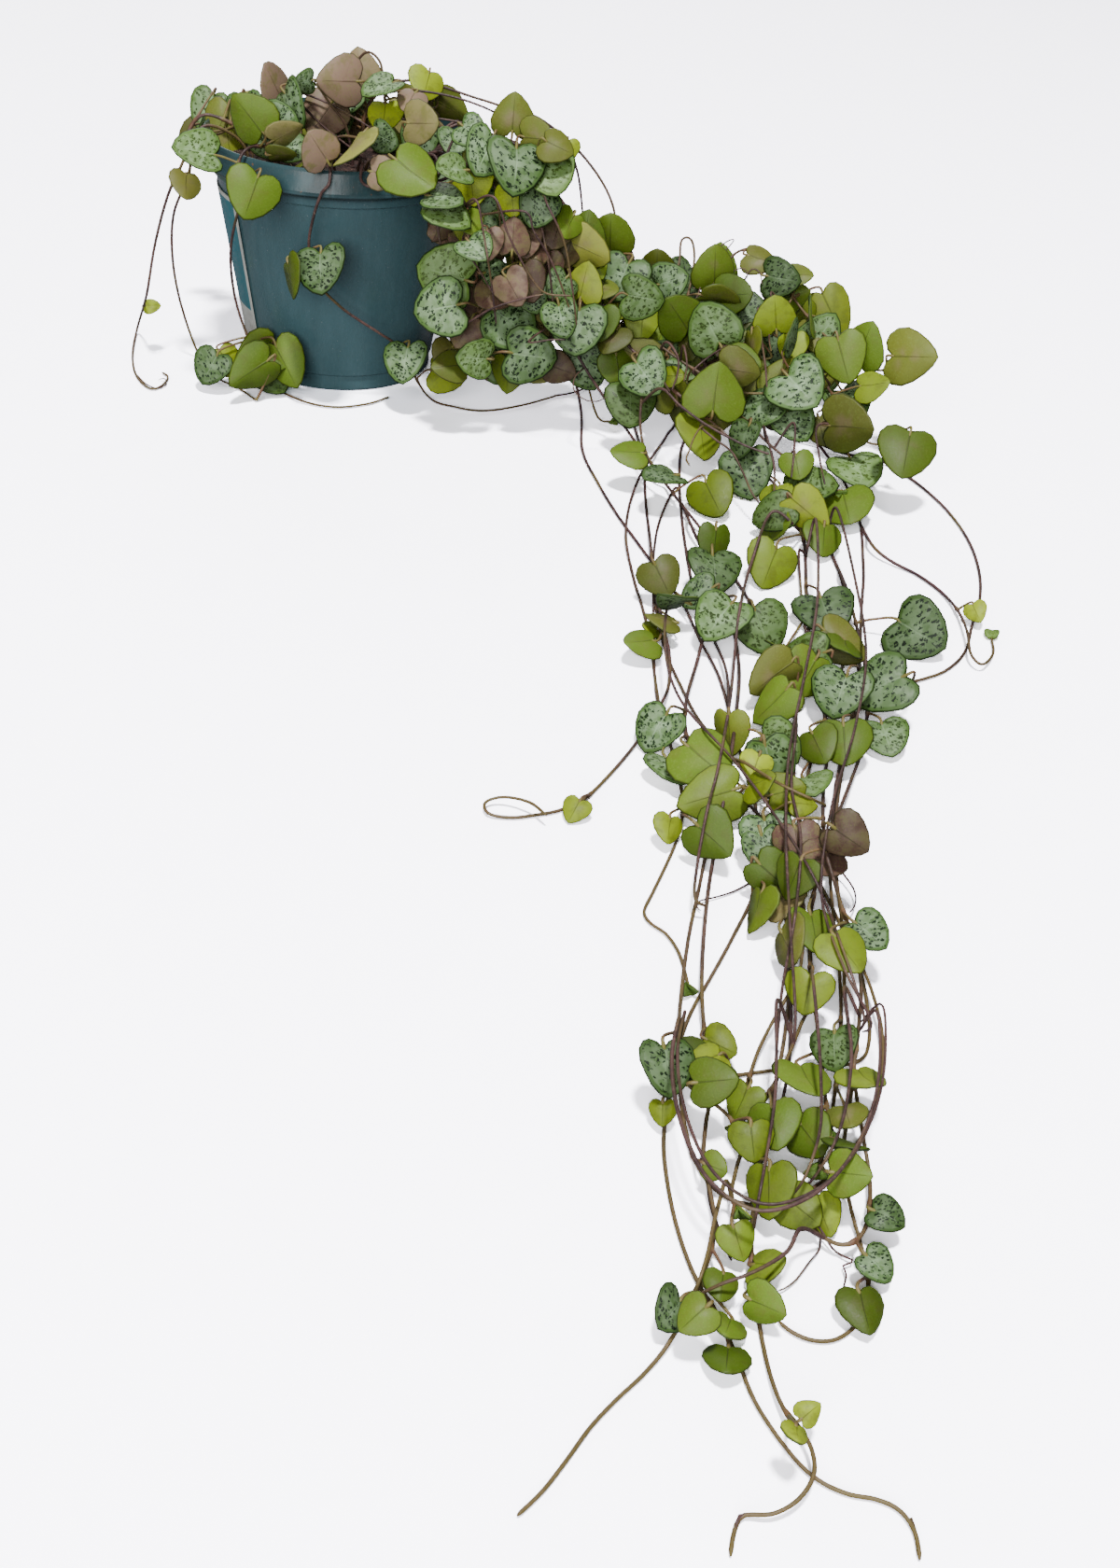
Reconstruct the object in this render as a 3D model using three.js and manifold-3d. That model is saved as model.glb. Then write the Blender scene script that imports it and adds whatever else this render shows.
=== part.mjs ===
// A string of hearts in its green nursery pot: a potted trailing plant, modelled in millimetres, +Z up.
// The origin is the middle of the pot's underside, on the surface that the pot stands on, with +X to the
// right and -Y to the front. Each leafy stem is one solid: a wiry stem that stands in its own hole in the
// soil, climbs over the lip, and trails over the surface, with heart-shaped leaves on short stalks.
import * as THREE from 'three';
import { mergeVertices } from 'three/addons/utils/BufferGeometryUtils.js';
import Module from 'manifold-3d';

const wasm = await Module();
wasm.setup();
const { degToRad } = THREE.MathUtils;

// ---------- driving dimensions, mm ----------

const GAP = 0.3; // running gap between pieces that touch
const POT = {
  height: 94,
  footRadius: 38,
  footHeight: 6.7,
  wallFoot: 38.8,
  wallTop: 50,
  bandBottom: 79,
  bandRadius: 51.5,
  lipBottom: 84,
  flangeRadius: 57,
  lipRadius: 54.5,
  wall: 1.3,
  floor: 2.2,
  segments: 24,
};
const DRAIN = { holes: 6, radius: 4, ring: 27, sides: 8 };
const SOIL = { top: 83.2, crown: 1.2, bump: 0.5 };
const LABEL = { bottom: 12, top: 74, from: 164, to: 224, steps: 6, thickness: 0.5 };
const STEM = { radius: 0.8, tipRadius: 0.6, sides: 3, step: 1.5, chordError: 1.0 };
const HOLE = { radius: 1.9, depth: 7, sides: 4 };
const LIP_CROSSING = 97.4; // height of a stem's axis over the pot's lip
const REST = 0.9; // height of a stem's axis where it lies on the surface
const CLEAR = { stem: 3.55, leaf: 2, ownLeaf: 1.7, stalk: 1.85, ownStalk: 1.2, pot: 1.7, floor: 0.8 };
const HUMP = 13; // half the length of the hump where a stem passes over another
const STALK = { radius: 0.45, footRadius: 0.24, straight: 0.6, least: 1.2, longest: 15, reach: 30, places: 4 };
const BLADE = { thickness: 1.0, smallThickness: 0.75, small: 14.5, large: 15, grid: 1.7 };
const BARE = { main: 16, side: 6 }; // length of a stem that bears no leaves, from its root or its fork
const SEED = 1978;
const TRIES = 28;
const RISE = { step: 1.7, steps: 8 }; // each way of setting a leaf is tried at some rises towards the eye
const OWN_STEM = 3.2; // a blade may come this near to where its stalk leaves the stem
const LEAF_SCALE = 0.88; // from a leaf's listed length, lobes to tip, to its length from notch to tip
const SIZES = 3; // a leaf that finds no room is tried again a little smaller
const SMALLER = 0.88;

// The sighting board: a flat frame, 1200 x 1680 units, that an eye in front of and above the plant looks
// through. Stems and leaves are placed by their spot on the board, and each spot is carried along its line
// of sight to the depth or height where that piece lies.
const EYE = new THREE.Vector3(111.8, -700, 280);
const BOARD = { middle: [600, 840], distance: 1810, pitch: 35.303, roll: 5.275 };
const LOW = 24; // leaves that grow below this height lie back towards the surface
// The heap beside the pot rises from the surface at this depth, at this slope.
const HEAP = { toe: -128, slope: 0.5 };

// ---------- the stems ----------
// A main stem has the angle round the pot where it crosses the lip and the radius of its hole in the soil.
// A side stem has the main stem that it grows from, at the place nearest to its first spot. Then come the
// spots: wall [across, down, gap off the pot's wall], air [across, down, depth along Y], heap [across, down,
// height over the heap's slope] and ground [across, down]. A free stem stays inside the lip.
const STEMS = [
  { name: 'left_far', turn: 186, hole: 36, wall: [[198, 168, 9], [180, 209, 14], [166, 262, 18], [157, 316, 20]],
    ground: [[147, 352], [142, 380], [146, 402], [160, 416], [172, 414], [180, 404], [172, 398]] },
  { name: 'left_near', turn: 203, hole: 38, wall: [[196, 190, 5], [186, 230, 6], [184, 262, 8], [188, 300, 9],
    [198, 340, 9]], ground: [[214, 382], [232, 404], [256, 416], [276, 430]] },
  { name: 'front_left', turn: 239, hole: 30, wall: [[266, 190, 8], [252, 238, 8.5], [247, 275, 8],
    [252, 320, 8], [266, 362, 8]], ground: [[288, 408], [320, 428], [356, 436], [392, 433], [418, 425]] },
  { name: 'front_mid', turn: 275, hole: 34, wall: [[344, 208, 8], [335, 236, 7.5], [331, 266, 7],
    [340, 302, 7], [364, 328, 7], [386, 344, 8], [408, 358, 10], [428, 374, 12]],
    ground: [[458, 424], [488, 436], [520, 440], [560, 434], [596, 424]] },
  { name: 'crown_loop', turn: 250, hole: 8, free: true,
    air: [[374, 112, -4], [377, 78, -4], [392, 56, -6], [407, 66, -9], [411, 92, -12], [414, 122, -18]] },
  { name: 'crown_left', turn: 200, hole: 20, free: true,
    air: [[318, 128, -4], [302, 110, -8], [284, 106, -10], [266, 124, -14], [244, 138, -14], [220, 142, -14]] },
  { name: 'crown_middle', turn: 300, hole: 13, free: true,
    air: [[370, 134, -14], [354, 112, -16], [340, 92, -16], [330, 88, -14]] },
  { name: 'crown_low', turn: 262, hole: 24, free: true,
    air: [[346, 158, -32], [366, 146, -36], [392, 150, -40], [420, 158, -44], [446, 152, -42]] },
  { name: 'crown_back', turn: 60, hole: 14, free: true,
    air: [[392, 118, 14], [412, 94, 16], [440, 86, 18], [470, 92, 18], [504, 103, 18], [545, 117, 14],
      [582, 138, 8], [606, 160, 2]] },
  { name: 'crown_front', turn: 293.5, hole: 36.5, wall: [],
    air: [[440, 172, -52], [455, 190, -58], [476, 206, -60], [494, 226, -62], [500, 250, -63]] },
  { name: 'crown_right', turn: 315.5, hole: 36.5, wall: [],
    air: [[492, 140, -38], [520, 150, -40], [552, 164, -42], [580, 184, -44], [584, 214, -46]] },
  { name: 'curtain_1', turn: 288, hole: 41, wall: [],
    air: [[456, 206, -58], [470, 250, -60], [476, 300, -62], [482, 350, -62], [486, 396, -62]] },
  { name: 'curtain_2', turn: 299, hole: 41, wall: [],
    air: [[486, 200, -54], [504, 250, -56], [512, 310, -58], [514, 366, -58], [522, 410, -58]] },
  { name: 'curtain_3', turn: 304.5, hole: 36.5, wall: [],
    air: [[508, 176, -44], [536, 214, -48], [548, 262, -50], [552, 320, -52], [562, 376, -52], [570, 408, -54]] },
  { name: 'curtain_4', turn: 337.5, hole: 36.5, wall: [],
    air: [[540, 150, -26], [578, 182, -32], [598, 230, -38], [606, 290, -42], [616, 350, -44], [626, 396, -46]],
    ground: [[640, 446], [656, 452]] },
  { name: 'curtain_5', turn: 5, hole: 41, wall: [],
    air: [[560, 122, -4], [610, 152, -8], [648, 200, -16], [660, 244, -22], [648, 286, -28], [634, 316, -34],
      [640, 352, -36]] },
  { name: 'heap_1', turn: 10.5, hole: 36.5, wall: [],
    air: [[560, 170, 4], [610, 250, -4], [654, 310, -12]],
    heap: [[688, 344, -4], [712, 330, 0], [727, 284, 6], [730, 258, 9], [740, 256, 10], [744, 276, 9],
      [738, 312, 4], [726, 356, -1], [704, 396, -3]] },
  { name: 'heap_2', turn: 27, hole: 41, wall: [],
    air: [[560, 160, 18], [614, 230, 10], [668, 280, 4]],
    heap: [[720, 312, -2], [762, 300, 4], [790, 270, 8], [812, 272, 8], [836, 300, 4], [866, 340, 0],
      [898, 372, 0], [936, 396, -1], [960, 392, 2]] },
  { name: 'heap_3', side: 'heap_2', heap: [[762, 302, 3], [800, 318, 0], [836, 346, -1], [868, 382, -2],
    [892, 416, -1], [902, 452, 0], [930, 474, 0], [958, 476, 1]] },
  { name: 'heap_4', turn: 343, hole: 41, wall: [],
    air: [[548, 180, -22], [592, 250, -28], [634, 310, -34]],
    heap: [[672, 344, -1], [708, 372, 1], [744, 396, 0], [786, 418, 0], [826, 420, 1], [862, 402, 0],
      [892, 398, 0]] },
  { name: 'heap_5', side: 'heap_4', heap: [[708, 374, 1], [692, 408, 1], [686, 444, 1], [690, 480, 2],
    [706, 508, 2]] },
  { name: 'heap_6', turn: 354, hole: 41, wall: [],
    air: [[552, 172, -12], [604, 246, -20], [650, 306, -30]],
    heap: [[700, 350, -5], [744, 372, -4], [786, 372, 1], [820, 352, 3], [846, 324, 5], [852, 304, 7]] },
  { name: 'heap_7', side: 'heap_6', heap: [[744, 374, -4], [772, 420, -3], [804, 456, -2], [836, 486, 0],
    [868, 506, 1], [896, 530, 1]] },
  { name: 'trail_1', turn: 321, hole: 41, wall: [],
    air: [[530, 166, -38], [566, 224, -44], [590, 290, -48], [606, 360, -50]],
    ground: [[622, 436], [624, 482], [641, 518], [661, 551], [682, 580], [698, 602], [714, 624], [731, 645],
      [750, 686], [770, 724], [784, 772], [796, 816], [810, 866], [814, 914], [808, 956], [784, 1006],
      [762, 1046], [741, 1083], [727, 1122], [716, 1176], [711, 1223], [715, 1266], [724, 1310], [737, 1350],
      [752, 1382], [772, 1414], [790, 1456], [808, 1500], [832, 1538], [858, 1570], [880, 1588], [909, 1601],
      [941, 1607], [966, 1620], [981, 1644], [986, 1674]] },
  { name: 'trail_2', turn: 326.5, hole: 36.5, wall: [],
    air: [[540, 172, -34], [582, 236, -40], [616, 306, -46], [648, 380, -52]],
    ground: [[678, 452], [689, 496], [692, 540], [697, 582], [701, 624], [705, 664], [714, 700], [729, 734],
      [748, 770], [772, 798], [796, 824], [820, 856], [846, 890], [868, 928], [884, 957], [898, 985], [913, 1014],
      [923, 1044], [929, 1076], [932, 1106], [926, 1132], [906, 1141], [880, 1142], [845, 1145], [811, 1149],
      [784, 1153]] },
  { name: 'trail_3', turn: 348.5, hole: 36.5, wall: [],
    air: [[548, 172, -18], [590, 240, -26], [634, 316, -36], [680, 386, -48]],
    ground: [[722, 444], [714, 467], [697, 492], [683, 516], [673, 547], [671, 580], [679, 620], [690, 657],
      [698, 694], [702, 728], [708, 762], [719, 800], [729, 840], [731, 874], [725, 900], [714, 926], [700, 955],
      [690, 977], [698, 990], [713, 1000], [726, 1018], [733, 1038], [738, 1060]] },
  { name: 'trail_4', turn: 359.5, hole: 36.5, wall: [],
    air: [[552, 166, -4], [600, 242, -14], [650, 318, -26], [700, 386, -42]],
    ground: [[734, 450], [729, 486], [728, 522], [732, 568], [739, 612], [748, 654], [766, 688], [779, 724],
      [780, 777], [772, 830], [765, 876], [756, 916], [748, 956], [740, 992], [734, 1030], [729, 1076],
      [726, 1122], [728, 1162], [733, 1202], [744, 1242], [764, 1272], [790, 1288], [823, 1291], [855, 1283],
      [883, 1265], [905, 1242], [926, 1213], [940, 1180], [946, 1142], [945, 1106], [939, 1078], [929, 1048],
      [914, 1016], [896, 982], [880, 950], [864, 922]] },
  { name: 'trail_5', side: 'trail_2', ground: [[698, 590], [703, 628], [709, 664], [717, 700], [716, 736],
    [701, 766], [680, 798], [653, 830], [626, 856], [600, 868], [575, 873], [548, 876], [524, 872], [520, 860],
    [540, 854], [568, 860], [588, 876]] },
  { name: 'trail_6', turn: 310, hole: 41, wall: [],
    air: [[520, 178, -42], [552, 240, -50], [586, 316, -56], [628, 396, -62]],
    ground: [[684, 478], [722, 530], [752, 568], [780, 608], [808, 652], [834, 696], [849, 742], [853, 796],
      [848, 850], [844, 900], [842, 950], [843, 1004], [845, 1060], [842, 1100], [836, 1138], [828, 1176],
      [822, 1218], [812, 1262], [806, 1310], [806, 1366], [814, 1422], [825, 1472], [840, 1510], [858, 1532],
      [870, 1554], [872, 1580], [856, 1606], [828, 1622], [796, 1624], [786, 1644], [782, 1674]] },
  { name: 'trail_7', turn: 16, hole: 41, wall: [],
    air: [[556, 162, 10], [608, 238, 2], [664, 306, -10], [728, 370, -26], [800, 420, -46]],
    ground: [[884, 478], [944, 494], [976, 513], [1003, 535], [1024, 558], [1040, 584], [1049, 612], [1050, 640],
      [1042, 668], [1034, 698], [1014, 718], [984, 729], [948, 738], [922, 758], [908, 790], [900, 832],
      [892, 876], [889, 924], [892, 974], [898, 1026], [901, 1078], [899, 1130], [893, 1182], [885, 1226],
      [876, 1254]] },
  { name: 'trail_8', side: 'trail_9', ground: [[922, 560], [936, 586], [956, 602], [983, 616], [1008, 634],
    [1026, 654], [1036, 676], [1040, 700], [1052, 712], [1064, 700], [1062, 682]] },
  { name: 'trail_9', turn: 21.5, hole: 36.5, wall: [],
    air: [[560, 158, 14], [614, 232, 6], [672, 296, -4], [738, 360, -20], [810, 414, -42], [872, 470, -72]],
    ground: [[916, 540], [925, 604], [923, 654], [921, 704], [916, 756], [906, 806], [898, 854], [894, 904],
      [898, 956], [904, 1008], [905, 1060], [910, 1110], [913, 1160], [907, 1204], [903, 1246], [911, 1292],
      [922, 1332], [930, 1368], [927, 1400], [914, 1423], [893, 1436], [870, 1436], [848, 1427], [830, 1412]] },
  { name: 'trail_10', side: 'trail_11', ground: [[892, 596], [906, 628], [917, 668], [926, 710], [930, 752],
    [924, 800], [908, 846], [890, 892], [876, 938], [868, 988], [868, 1040], [874, 1088], [880, 1134],
    [885, 1180], [892, 1218]] },
  { name: 'trail_11', turn: 332, hole: 41, wall: [],
    air: [[550, 168, -28], [592, 246, -36], [640, 330, -48], [704, 402, -64], [776, 464, -84]],
    ground: [[846, 536], [884, 580], [904, 630], [908, 672], [902, 716], [888, 760], [872, 806], [860, 856],
      [856, 910], [860, 964], [868, 1018], [870, 1068], [858, 1098], [845, 1130], [830, 1160], [812, 1192],
      [798, 1224], [788, 1256], [784, 1282], [794, 1300]] },
  { name: 'trail_12', side: 'trail_6', ground: [[752, 570], [762, 604], [760, 652], [748, 704], [735, 752],
    [737, 794], [757, 826], [784, 848], [812, 872], [836, 904], [852, 946], [860, 996], [856, 1044],
    [842, 1070], [824, 1102], [810, 1132], [799, 1170], [793, 1206]] },
  { name: 'trail_13', side: 'trail_11', ground: [[852, 544], [862, 584], [864, 636], [868, 690], [880, 744],
    [886, 800], [882, 856], [884, 906], [896, 952], [910, 998], [922, 1050], [920, 1100], [915, 1147],
    [919, 1182], [925, 1219], [931, 1256], [932, 1290], [926, 1318], [910, 1333], [890, 1330], [870, 1315],
    [849, 1294], [824, 1264], [798, 1228], [782, 1198], [759, 1178], [732, 1158]] },
  { name: 'trail_14', side: 'trail_4', ground: [[730, 540], [748, 580], [768, 622], [784, 668], [792, 718],
    [788, 772], [780, 830], [770, 888], [760, 946], [754, 1004], [752, 1062], [756, 1116], [762, 1166],
    [756, 1206], [754, 1246], [762, 1282], [766, 1314], [758, 1352], [744, 1387], [730, 1416], [711, 1447],
    [688, 1474], [660, 1500], [632, 1530], [606, 1566], [581, 1598], [553, 1625]] },
];

// ---------- the leaves ----------
// Each leaf: [across, down, length from lobes to tip in mm, the way its tip points on the board, in degrees
// from straight down, turning to the right, and a lean that turns its edge to the eye, in degrees].
// marbled leaves show their upper side to the board's eye, and all the others their plain underside.
const LEAVES = {
  marbled: [[211, 163, 18, -95], [223, 395, 15, -30], [290, 402, 17, 40], [344, 288, 20, -5], [435, 388, 18, -15],
    [409, 96, 16, -50, 35], [312, 114, 18, 30, 62], [329, 90, 9, -60], [369, 120, 14, 0], [302, 130, 13, 80],
    [283, 152, 13, -80], [314, 154, 12, 60], [405, 147, 12, 40], [490, 152, 15, 10], [503, 143, 12, 60],
    [520, 164, 18, -30], [552, 177, 22, 5], [588, 187, 19, 10], [577, 223, 15, -20], [476, 184, 14, -60],
    [474, 210, 17, 80], [480, 230, 18, 60], [519, 246, 11, 0], [543, 242, 13, 10], [507, 265, 13, 20],
    [478, 294, 22, -95], [472, 330, 20, -90], [531, 283, 15, 90], [562, 318, 14, 0],
    [593, 307, 13, -20], [547, 346, 23, 60], [600, 342, 17, 0], [619, 352, 20, -5], [518, 382, 19, -60],
    [567, 380, 21, 80], [627, 388, 19, 10], [667, 298, 19, -20], [688, 318, 17, 80], [715, 306, 15, 100],
    [763, 351, 20, -150], [804, 338, 17, 70], [836, 298, 16, 80], [857, 416, 21, 30], [900, 421, 18, 30],
    [830, 430, 15, 0], [852, 452, 17, 40], [812, 442, 18, -60], [919, 499, 21, 20], [868, 523, 20, 100],
    [692, 402, 18, 40], [675, 434, 18, 0], [712, 509, 16, -70], [801, 507, 20, 10],
    [765, 610, 18, 0], [772, 662, 18, -30], [815, 672, 18, 20], [885, 655, 19, 10], [1000, 678, 20, 50],
    [945, 735, 20, -60], [903, 740, 17, -30], [950, 790, 15, 10], [832, 800, 15, 60], [708, 782, 15, -50],
    [720, 820, 14, 0], [870, 836, 14, 20], [822, 895, 13, 0], [857, 1028, 12, -20], [930, 1000, 11, 40],
    [713, 1140, 13, 0], [895, 1122, 11, 0], [950, 1303, 8, 60], [939, 1356, 8, 45], [720, 1405, 9, -30],
    [325, 160, 14, 100, 60], [372, 112, 13, -30, 40], [690, 310, 16, 100, 50],
    [846, 360, 15, 150, 50], [798, 470, 15, -20, 50]],
  green: [[268, 124, 18, -150], [271, 208, 19, -25], [282, 384, 18, -20], [316, 300, 17, 15, 78], 
    [440, 185, 21, 50], [506, 233, 12, 0], [608, 242, 13, -30], [628, 247, 15, 170], [654, 252, 18, 175],
    [637, 276, 14, 10], [639, 340, 14, 20], [545, 400, 15, 0], [656, 394, 15, 10], [725, 339, 19, -135],
    [692, 365, 15, -30], [767, 288, 18, 170], [785, 316, 16, 90], [829, 341, 16, 180], [849, 372, 13, 0],
    [806, 375, 14, 90], [903, 383, 20, 15], [925, 369, 19, 150], [935, 413, 14, 90], [971, 484, 21, 0],
    [908, 541, 19, 5], [854, 499, 12, 0], [766, 420, 22, 170], [753, 466, 20, -10], [763, 531, 18, 20],
    [674, 485, 14, -80], [825, 523, 13, 0], [882, 577, 15, 0], [825, 605, 18, -20], [712, 640, 15, -30],
    [690, 682, 13, -60], [852, 690, 18, 20], [865, 722, 16, -20], [898, 688, 14, 20], [832, 742, 16, -40],
    [905, 795, 16, 0], [753, 815, 18, 40], [876, 800, 13, 10], [762, 897, 14, 40], [852, 940, 12, -20],
    [862, 990, 13, 0], [905, 1020, 13, 20], [866, 1062, 11, -20], [740, 1130, 10, 60], [760, 1155, 11, 60],
    [870, 1160, 13, 0], [920, 1155, 11, 20], [830, 1205, 12, 10], [868, 1218, 11, 20], [902, 1232, 10, 50],
    [910, 1258, 10, 70], [825, 1275, 12, 0], [858, 1296, 10, 40], [882, 1302, 9, 20], [925, 1403, 10, 0],
    [790, 1330, 8, 20], [815, 1360, 9, 70], [780, 1370, 8, -20], [776, 1410, 9, 0], [820, 1398, 9, 60],
    [745, 1410, 8, -60], [788, 1447, 9, 0], [796, 1180, 9, -30], [806, 1222, 9, 0],
    [766, 1250, 6, 60], [868, 338, 16, 180, 60], [905, 690, 16, 10, 55], [812, 975, 13, -20, 50],
    [690, 345, 14, -20, 30], [842, 560, 14, 20, 40]],
  olive: [[550, 124, 16, 170], [575, 148, 14, 80], [592, 160, 13, 60], [625, 304, 16, 170], [650, 306, 14, 60],
    [704, 288, 16, 180], [653, 362, 14, -10], [814, 278, 14, 70], [848, 306, 15, 70], [871, 354, 17, 10],
    [790, 394, 17, 70], [975, 381, 21, 90], [908, 457, 21, 85], [662, 330, 12, 0],
    [735, 372, 13, 30], [745, 398, 14, -20], [880, 460, 13, 0], [820, 985, 11, -20], [900, 1190, 9, 10],
    [300, 163, 13, 90, 40], [438, 112, 14, 80, 30], [480, 392, 14, -80, 30], [770, 318, 17, 90, 55],
    [806, 372, 15, 0, 40], [708, 618, 14, 20, 30], [700, 660, 12, -60, 40], [845, 1010, 13, 20, 30]],
  brown: [[198, 200, 13, 0], [290, 93, 20, -170, 60], [346, 124, 18, -40], [365, 88, 19, -90], [386, 76, 17, 180],
    [346, 162, 15, -140], [377, 158, 20, -30, 58], [445, 130, 15, 60], [440, 108, 12, -30],
    [417, 186, 13, 60], [526, 254, 13, 0], [562, 258, 14, 10], [573, 268, 13, 30], [596, 250, 13, -10],
    [614, 262, 13, 20], [527, 309, 14, -20], [565, 302, 15, 10], [579, 398, 12, 60], [855, 905, 13, 10],
    [908, 897, 12, 60], [880, 918, 12, -30],
    [300, 142, 14, 100, 50], [545, 305, 15, 20],
    [512, 318, 14, -10], [498, 355, 14, -20], [590, 285, 14, 10], [540, 262, 14, 160, 30], [488, 374, 14, -30],
    [583, 330, 13, 0], [600, 395, 13, 60], [775, 398, 14, 0, 50], [848, 962, 13, 10, 30]],
  young: [[241, 387, 13, 30], [478, 402, 15, 80], [413, 124, 14, 0], [458, 91, 14, -20], [507, 197, 15, 10],
    [549, 214, 13, 0], [608, 160, 9, 0], [722, 403, 9, 90], [706, 668, 8, -60],
    [716, 888, 9, 0], [616, 868, 8, -30], [806, 834, 11, 80], [842, 848, 11, 110],
    [860, 862, 8, 90], [770, 1120, 9, 60], [757, 1136, 9, -60], [710, 1192, 6, 0], 
    [866, 1512, 5, 120], [858, 1530, 5, 0], [162, 327, 7, 90], [1046, 656, 8, 20], [810, 820, 9, -30]],
};

// ---------- small tools ----------

// The same even draws on every run, from one whole number.
function draws(seed) {
  let state = seed >>> 0;
  return () => {
    state = (state + 0x6d2b79f5) >>> 0;
    let t = state;
    t = Math.imul(t ^ (t >>> 15), t | 1);
    t ^= t + Math.imul(t ^ (t >>> 7), t | 61);
    return ((t ^ (t >>> 14)) >>> 0) / 4294967296;
  };
}

function solidOf(geometry) {
  geometry.deleteAttribute('normal');
  geometry.deleteAttribute('uv');
  const merged = mergeVertices(geometry, 1e-4);
  return new wasm.Manifold(new wasm.Mesh({
    numProp: 3,
    vertProperties: new Float32Array(merged.getAttribute('position').array),
    triVerts: new Uint32Array(merged.index.array),
  }));
}

function geometryOf(solid) {
  const mesh = solid.getMesh();
  const geometry = new THREE.BufferGeometry();
  geometry.setAttribute('position', new THREE.BufferAttribute(mesh.vertProperties, 3));
  geometry.setIndex(new THREE.BufferAttribute(mesh.triVerts, 1));
  return geometry;
}

function facets(points, faces) {
  const geometry = new THREE.BufferGeometry();
  geometry.setAttribute('position', new THREE.Float32BufferAttribute(points.flatMap((p) => p.toArray()), 3));
  geometry.setIndex(faces);
  return geometry;
}

// A body of revolution about Z, from a closed outline of [radius, height] pairs.
function turned(outline) {
  const profile = outline.map(([radius, height]) => new THREE.Vector2(radius, height));
  return new THREE.LatheGeometry(profile, POT.segments).rotateX(Math.PI / 2);
}

const onCircle = (radius, degrees, height) => new THREE.Vector3(
  radius * Math.cos(degToRad(degrees)), radius * Math.sin(degToRad(degrees)), height);

// ---------- the sighting board ----------

const pitch = degToRad(BOARD.pitch);
const roll = degToRad(BOARD.roll);
const boardRight = new THREE.Vector3(1, 0, 0);
const boardUp = new THREE.Vector3(0, Math.sin(pitch), Math.cos(pitch));
const boardAhead = new THREE.Vector3(0, Math.cos(pitch), -Math.sin(pitch));

// The direction from the eye through a spot on the board.
function sight(across, down) {
  const a = across - BOARD.middle[0];
  const b = down - BOARD.middle[1];
  return boardAhead.clone().multiplyScalar(BOARD.distance)
    .addScaledVector(boardRight, Math.cos(roll) * a + Math.sin(roll) * b)
    .addScaledVector(boardUp, Math.sin(roll) * a - Math.cos(roll) * b)
    .normalize();
}

// The spot on the board where a point is seen.
function spotOf(point) {
  const away = point.clone().sub(EYE);
  const scale = BOARD.distance / away.dot(boardAhead);
  const x = away.dot(boardRight) * scale;
  const y = -away.dot(boardUp) * scale;
  return [BOARD.middle[0] + Math.cos(roll) * x - Math.sin(roll) * y,
    BOARD.middle[1] + Math.sin(roll) * x + Math.cos(roll) * y];
}

const along = (ray, distance) => EYE.clone().addScaledVector(ray, distance);

function onGround([across, down, height = REST]) {
  const ray = sight(across, down);
  return along(ray, (height - EYE.z) / ray.z);
}

function inAir([across, down, depth]) {
  const ray = sight(across, down);
  return along(ray, (depth - EYE.y) / ray.y);
}

function onHeap([across, down, over]) {
  const ray = sight(across, down);
  const rise = over - HEAP.slope * HEAP.toe;
  return along(ray, (rise + HEAP.slope * EYE.y - EYE.z) / (ray.z - HEAP.slope * ray.y));
}

const wallSlope = (POT.wallTop - POT.wallFoot) / (POT.bandBottom - POT.footHeight);
const wallRadius = (height) => POT.wallFoot + wallSlope * (height - POT.footHeight);

// Where the line of sight first meets the pot's tapering wall, moved out by a gap.
function onWall([across, down, gap]) {
  const ray = sight(across, down);
  const reach = wallRadius(EYE.z) + gap;
  const a = ray.x ** 2 + ray.y ** 2 - (wallSlope * ray.z) ** 2;
  const b = EYE.x * ray.x + EYE.y * ray.y - wallSlope * ray.z * reach;
  const c = EYE.x ** 2 + EYE.y ** 2 - reach ** 2;
  return along(ray, (-b - Math.sqrt(Math.max(b * b - a * c, 0))) / a);
}

// ---------- room for stems and leaves ----------

// A cloud of points in a grid of cells, for asking what lies near a place.
class Cloud {
  constructor(cell) {
    this.cell = cell;
    this.cells = new Map();
  }
  key(x, y, z) {
    return (x + 4096) * 67108864 + (y + 4096) * 8192 + (z + 4096);
  }
  add(point, owner, order) {
    const [x, y, z] = point.toArray().map((v) => Math.floor(v / this.cell));
    const key = this.key(x, y, z);
    if (!this.cells.has(key)) this.cells.set(key, []);
    this.cells.get(key).push({ point, owner, order });
  }
  near(point, reach) {
    const found = [];
    const [x, y, z] = point.toArray().map((v) => Math.floor(v / this.cell));
    for (let i = x - 1; i <= x + 1; i++) {
      for (let j = y - 1; j <= y + 1; j++) {
        for (let k = z - 1; k <= z + 1; k++) {
          for (const item of this.cells.get(this.key(i, j, k)) ?? []) {
            if (item.point.distanceTo(point) < reach) found.push(item);
          }
        }
      }
    }
    return found;
  }
}

// Whether a point keeps its gap to the pot and the soil.
function clearOfPot(point, gap) {
  const radius = Math.hypot(point.x, point.y);
  if (point.z > POT.height + gap || radius > POT.flangeRadius + gap) return true;
  if (point.z < POT.lipBottom - gap) return radius > wallRadius(Math.min(point.z, POT.bandBottom)) + gap + 0.6;
  return radius < POT.lipRadius - POT.wall - gap && point.z > SOIL.top + SOIL.crown + gap;
}

// ---------- routes ----------

function evenly(points, step) {
  const placed = [points[0].clone()];
  let left = step;
  for (let i = 1; i < points.length; i++) {
    const from = points[i - 1].clone();
    let length = from.distanceTo(points[i]);
    while (length >= left) {
      from.lerp(points[i], left / length);
      placed.push(from.clone());
      length = from.distanceTo(points[i]);
      left = step;
    }
    left -= length;
  }
  return placed;
}

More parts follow.
